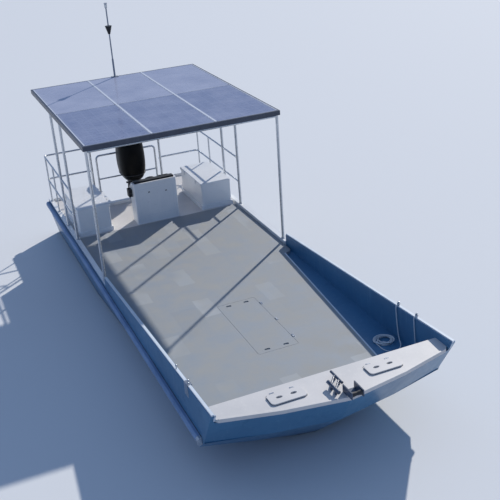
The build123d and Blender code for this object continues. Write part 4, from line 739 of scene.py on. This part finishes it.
# the gunwales run on at their height to the bow's corners, and their light strips with them
cornerLook = {"outer": 1.49, "inner": 1.44, "back": 0.0135,
              # how far forward the corner's top and bottom lie, and how high
              "tip": (-4.02, 1.14), "foot": (-3.9726, 1.06),
              "stripOuter": 1.484, "stripInner": 1.45, "strip": 0.018, "returnIn": 0.002, "returnOut": 0.016,
              "returnAft": 0.003, "returnYs": (0.0, 0.004, -0.005, -0.009), "returnDown": 0.01}
for word, side in sides.items():
    low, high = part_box("gunwale_trim_" + word)
    tip, foot, back, thick = [cornerLook[key] for key in ("tip", "foot", "back", "strip")]
    outer, inner = side * cornerLook["outer"], side * cornerLook["inner"]
    start = (low.y, high.z - thick)
    bm = bmesh.new()
    addPrism(bm, [(outer, y, z) for y, z in (start, tip, foot)],
             [(inner, y, z) for y, z in (start, (tip[0] - back, tip[1]), (foot[0] - back, foot[1]))])
    fromBmesh("gunwaleCorner_" + word, bm, "boat", "hullGelcoat", bevelMm=1.5)
    bm = bmesh.new()
    near, far = side * cornerLook["stripOuter"], side * cornerLook["stripInner"]
    addPrism(bm, *[[(near, y, z), (far, y, z), (far, y, z + thick), (near, y, z + thick)]
                   for y, z in (start, tip)])
    # and down the inner corner to the foredeck
    inside, outside = inner - side * cornerLook["returnIn"], inner + side * cornerLook["returnOut"]
    square = list(zip((inside, outside, outside, inside), cornerLook["returnYs"]))
    addPrism(bm, *[[(x, y - back + cornerLook["returnAft"] + shift, z) for x, shift in square]
                   for y, z in ((tip[0], tip[1] + thick), (foot[0], foot[1] - cornerLook["returnDown"]))])
    fromBmesh("gunwaleReturn_" + word, bm, "boat", "edgeStrip", bevelMm=1.0)

# a steel strap over the starboard gunwale, where lines chafe it
strapLook = {"y": -3.25, "width": 0.12, "plate": 0.003, "outerDrop": 0.16, "innerDrop": 0.06, "inner": 1.4397,
             "outer": 1.4903,
             # the light strip's thickness, and the same with a hair's room for the strap to lie on it
             "trim": 0.018, "lie": 0.019}
low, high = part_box("gunwale_trim_starboard")
share = (strapLook["y"] - low.y) / (high.y - low.y)
z = high.z - (high.z - low.z - strapLook["lie"]) * share
fall = strapLook["width"] * (high.z - low.z - strapLook["trim"]) / (high.y - low.y) / 2
half, t = strapLook["width"] / 2, strapLook["plate"]
outer, inner = -strapLook["outer"], -strapLook["inner"]
outerFoot, innerFoot = z - strapLook["outerDrop"], z - strapLook["innerDrop"]
ends = []
for y, top in ((strapLook["y"] - half, z + fall), (strapLook["y"] + half, z - fall)):
    profile = [(outer - t, outerFoot), (outer - t, top + t), (inner + t, top + t), (inner + t, innerFoot),
               (inner, innerFoot), (inner, top), (outer, top), (outer, outerFoot)]
    ends.append([(x, y, height) for x, height in profile])
bm = bmesh.new()
addPrism(bm, *ends)
fromBmesh("gunwaleStrap", bm, "boat", "stainlessTube", bevelMm=0.8)

# solar panels: a thin frame round each, and a junction box under each
panelLook = {"frame": 0.011, "rise": 0.0012, "gap": 0.002, "strips": (0.475, 0.505),
             "box": (0.12, 0.09, 0.025), "boxIn": 0.2}
low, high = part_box("solar_panels")
middle, gap = (low.y + high.y) / 2, panelLook["gap"]
near, far = panelLook["strips"]
f, z = panelLook["frame"], high.z + panelLook["rise"] / 2
rims, boxes = bmesh.new(), bmesh.new()
for x0, x1 in ((low.x, -far), (-near, near), (far, high.x)):
    for y0, y1 in ((low.y, middle - gap), (middle + gap, high.y)):
        cx, cy = (x0 + x1) / 2, (y0 + y1) / 2
        for px, py, sx, sy in ((cx, y0 + f / 2, x1 - x0, f), (cx, y1 - f / 2, x1 - x0, f),
                               (x0 + f / 2, cy, f, y1 - y0), (x1 - f / 2, cy, f, y1 - y0)):
            addSlab(rims, (px, py, z), (sx, sy, panelLook["rise"]))
        addSlab(boxes, (cx, y1 - panelLook["boxIn"], low.z - panelLook["box"][2] / 2), panelLook["box"])
fromBmesh("panelRims", rims, "boat", "panelRim", bevelMm=0.3)
fromBmesh("junctionBoxes", boxes, "boat", "mouldedPlastic", bevelMm=2.0)

# the lamp's clear lens on the masthead
mastLook = {"lensRadius": 0.0262, "lensFoot": 0.014, "lensHeight": 0.042}
low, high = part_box("mast_lamp")
foot = Vector(((low.x + high.x) / 2, (low.y + high.y) / 2, low.z + mastLook["lensFoot"]))
bm = bmesh.new()
addStub(bm, foot, foot + Vector((0, 0, mastLook["lensHeight"])), mastLook["lensRadius"], 28)
fromBmesh("mastLens", bm, "boat", "lampLens", bevelMm=2.0)

# the engine's cover: a smooth moulded shell in the place of the plain one, with its seal and vents
cowlLook = {"square": 2.9, "sides": 56, "seal": 0.005, "sealShare": 0.155, "sealOut": 0.0005,
            "vents": 5, "vent": (0.2, 0.02, 0.01), "ventShare": 0.8, "ventPitch": 0.035, "ventAft": 0.268,
            "ventStep": 0.0022, "ventTilt": 0.5,
            # share of the height, half width, half length, place of the middle along the boat
            "rings": ((0.0, 0.147, 0.2, -0.01), (0.035, 0.168, 0.222, -0.009), (0.14, 0.22, 0.27, -0.001),
                      (0.3, 0.2395, 0.284, 0.0), (0.53, 0.2445, 0.2895, 0.0), (0.75, 0.236, 0.277, -0.003),
                      (0.9, 0.221, 0.258, -0.006), (0.955, 0.2, 0.236, -0.008), (0.985, 0.176, 0.212, -0.01),
                      (1.0, 0.135, 0.17, -0.01))}
low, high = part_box("cowl")
cowlY, cowlFoot, cowlHeight = (low.y + high.y) / 2, low.z, high.z - low.z


def cowlRing(share, grow=0.0):
    table = cowlLook["rings"]
    for a, b in zip(table, table[1:]):
        if share <= b[0]:
            t = (share - a[0]) / (b[0] - a[0])
            break
    halfX, halfY, back = [a[i] + (b[i] - a[i]) * t for i in (1, 2, 3)]
    ring = []
    for i in range(cowlLook["sides"]):
        angle = 2 * pi * i / cowlLook["sides"]
        c, s = cos(angle), sin(angle)
        reach = (abs(c) ** cowlLook["square"] + abs(s) ** cowlLook["square"]) ** (-1 / cowlLook["square"])
        ring.append(((halfX + grow) * c * reach, cowlY + back + (halfY + grow) * s * reach,
                     cowlFoot + cowlHeight * share))
    return ring


bm = bmesh.new()
loops = [[bm.verts.new(place) for place in cowlRing(row[0])] for row in cowlLook["rings"]]
for lower, upper in zip(loops, loops[1:]):
    for i in range(len(lower)):
        j = (i + 1) % len(lower)
        bm.faces.new((lower[i], lower[j], upper[j], upper[i]))
bm.faces.new(loops[0])
bm.faces.new(loops[-1])
shell = fromBmesh("cowlShell", bm, "engine", "cowlEnamel", smooth=True)
smoother = shell.modifiers.new("moulded", "SUBSURF")
smoother.levels = smoother.render_levels = 1
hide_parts("cowl")
seal = cowlRing(cowlLook["sealShare"], cowlLook["sealOut"])
tubeAlong("cowlSeal", seal, cowlLook["seal"], "engine", "rollerRubber", closed=True)
bm = bmesh.new()
for i in range(cowlLook["vents"]):      # louvres at the back, under the lid's edge
    z = cowlFoot + cowlHeight * (cowlLook["ventShare"] - cowlLook["ventPitch"] * i)
    addSlab(bm, (0, cowlY + cowlLook["ventAft"] + cowlLook["ventStep"] * i, z), cowlLook["vent"],
            Matrix.Rotation(cowlLook["ventTilt"], 4, "X"))
fromBmesh("cowlVents", bm, "engine", "mouldedPlastic", bevelMm=2.0)

# the water intakes on both sides of the engine's leg
legLook = {"intakes": 4, "intake": (0.004, 0.06, 0.012), "intakeX": 0.0405, "intakeAhead": 0.04,
           "intakeDown": 0.07, "intakePitch": 0.022}
low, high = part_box("gearcase")
y = (low.y + high.y) / 2 - legLook["intakeAhead"]
bm = bmesh.new()
for side in (-1, 1):
    for i in range(legLook["intakes"]):
        z = high.z - legLook["intakeDown"] - legLook["intakePitch"] * i
        addSlab(bm, (side * legLook["intakeX"], y, z), legLook["intake"])
fromBmesh("waterIntakes", bm, "engine", "mouldedPlastic", bevelMm=1.0)
print("stage 4: small pieces on the CAD")


# camera, floor and light
view = {"place": (-3.73, -11.001, 6.377), "forward": (0.3375, 0.8417, -0.4214),
        "right": (0.9146, -0.3992, -0.0648), "lens": 62.62, "sensor": 36.0, "reach": 200}
camera = bpy.data.cameras.new("camera")
camera.lens, camera.sensor_width, camera.clip_end = view["lens"], view["sensor"], view["reach"]
cameraObject = addObject("camera", camera)
forward, right = Vector(view["forward"]).normalized(), Vector(view["right"])
right = (right - forward * right.dot(forward)).normalized()
turn = Matrix((right, right.cross(forward), -forward)).transposed().to_4x4()
cameraObject.matrix_world = Matrix.Translation(view["place"]) @ turn
bpy.context.scene.camera = cameraObject

studio = {"floor": "#D9DCDF", "floorHalf": 60.0, "sky": "#A6C5F6", "skyStrength": 0.5, "sunPower": 3.95,
          "sunAngle": 1.0, "sunColour": (1.0, 0.945, 0.865), "sunFrom": (0.66, 0.55, 0.50)}
floorMesh = bpy.data.meshes.new("floor")
half = studio["floorHalf"]
corners = [(-half, -half, 0), (half, -half, 0), (half, half, 0), (-half, half, 0)]
floorMesh.from_pydata(corners, [], [(0, 1, 2, 3)])
floor = addObject("floor", floorMesh)
# matt backdrop paper: even, with no gloss
paper = startMaterial("floorPaper", {"Base Color": linear(studio["floor"]), "Roughness": 0.9})[0]
floorMesh.materials.append(paper)
world = bpy.data.worlds.new("studioSky")
world.use_nodes = True
sky = world.node_tree.nodes["Background"]
sky.inputs["Color"].default_value = linear(studio["sky"])
sky.inputs["Strength"].default_value = studio["skyStrength"]
bpy.context.scene.world = world
sun = bpy.data.lights.new("keyLight", "SUN")
sun.energy, sun.angle, sun.color = studio["sunPower"], radians(studio["sunAngle"]), studio["sunColour"]
sunObject = addObject("keyLight", sun)
sunObject.rotation_euler = Vector(studio["sunFrom"]).to_track_quat("Z", "Y").to_euler()
print("stage 5: camera, floor and light")
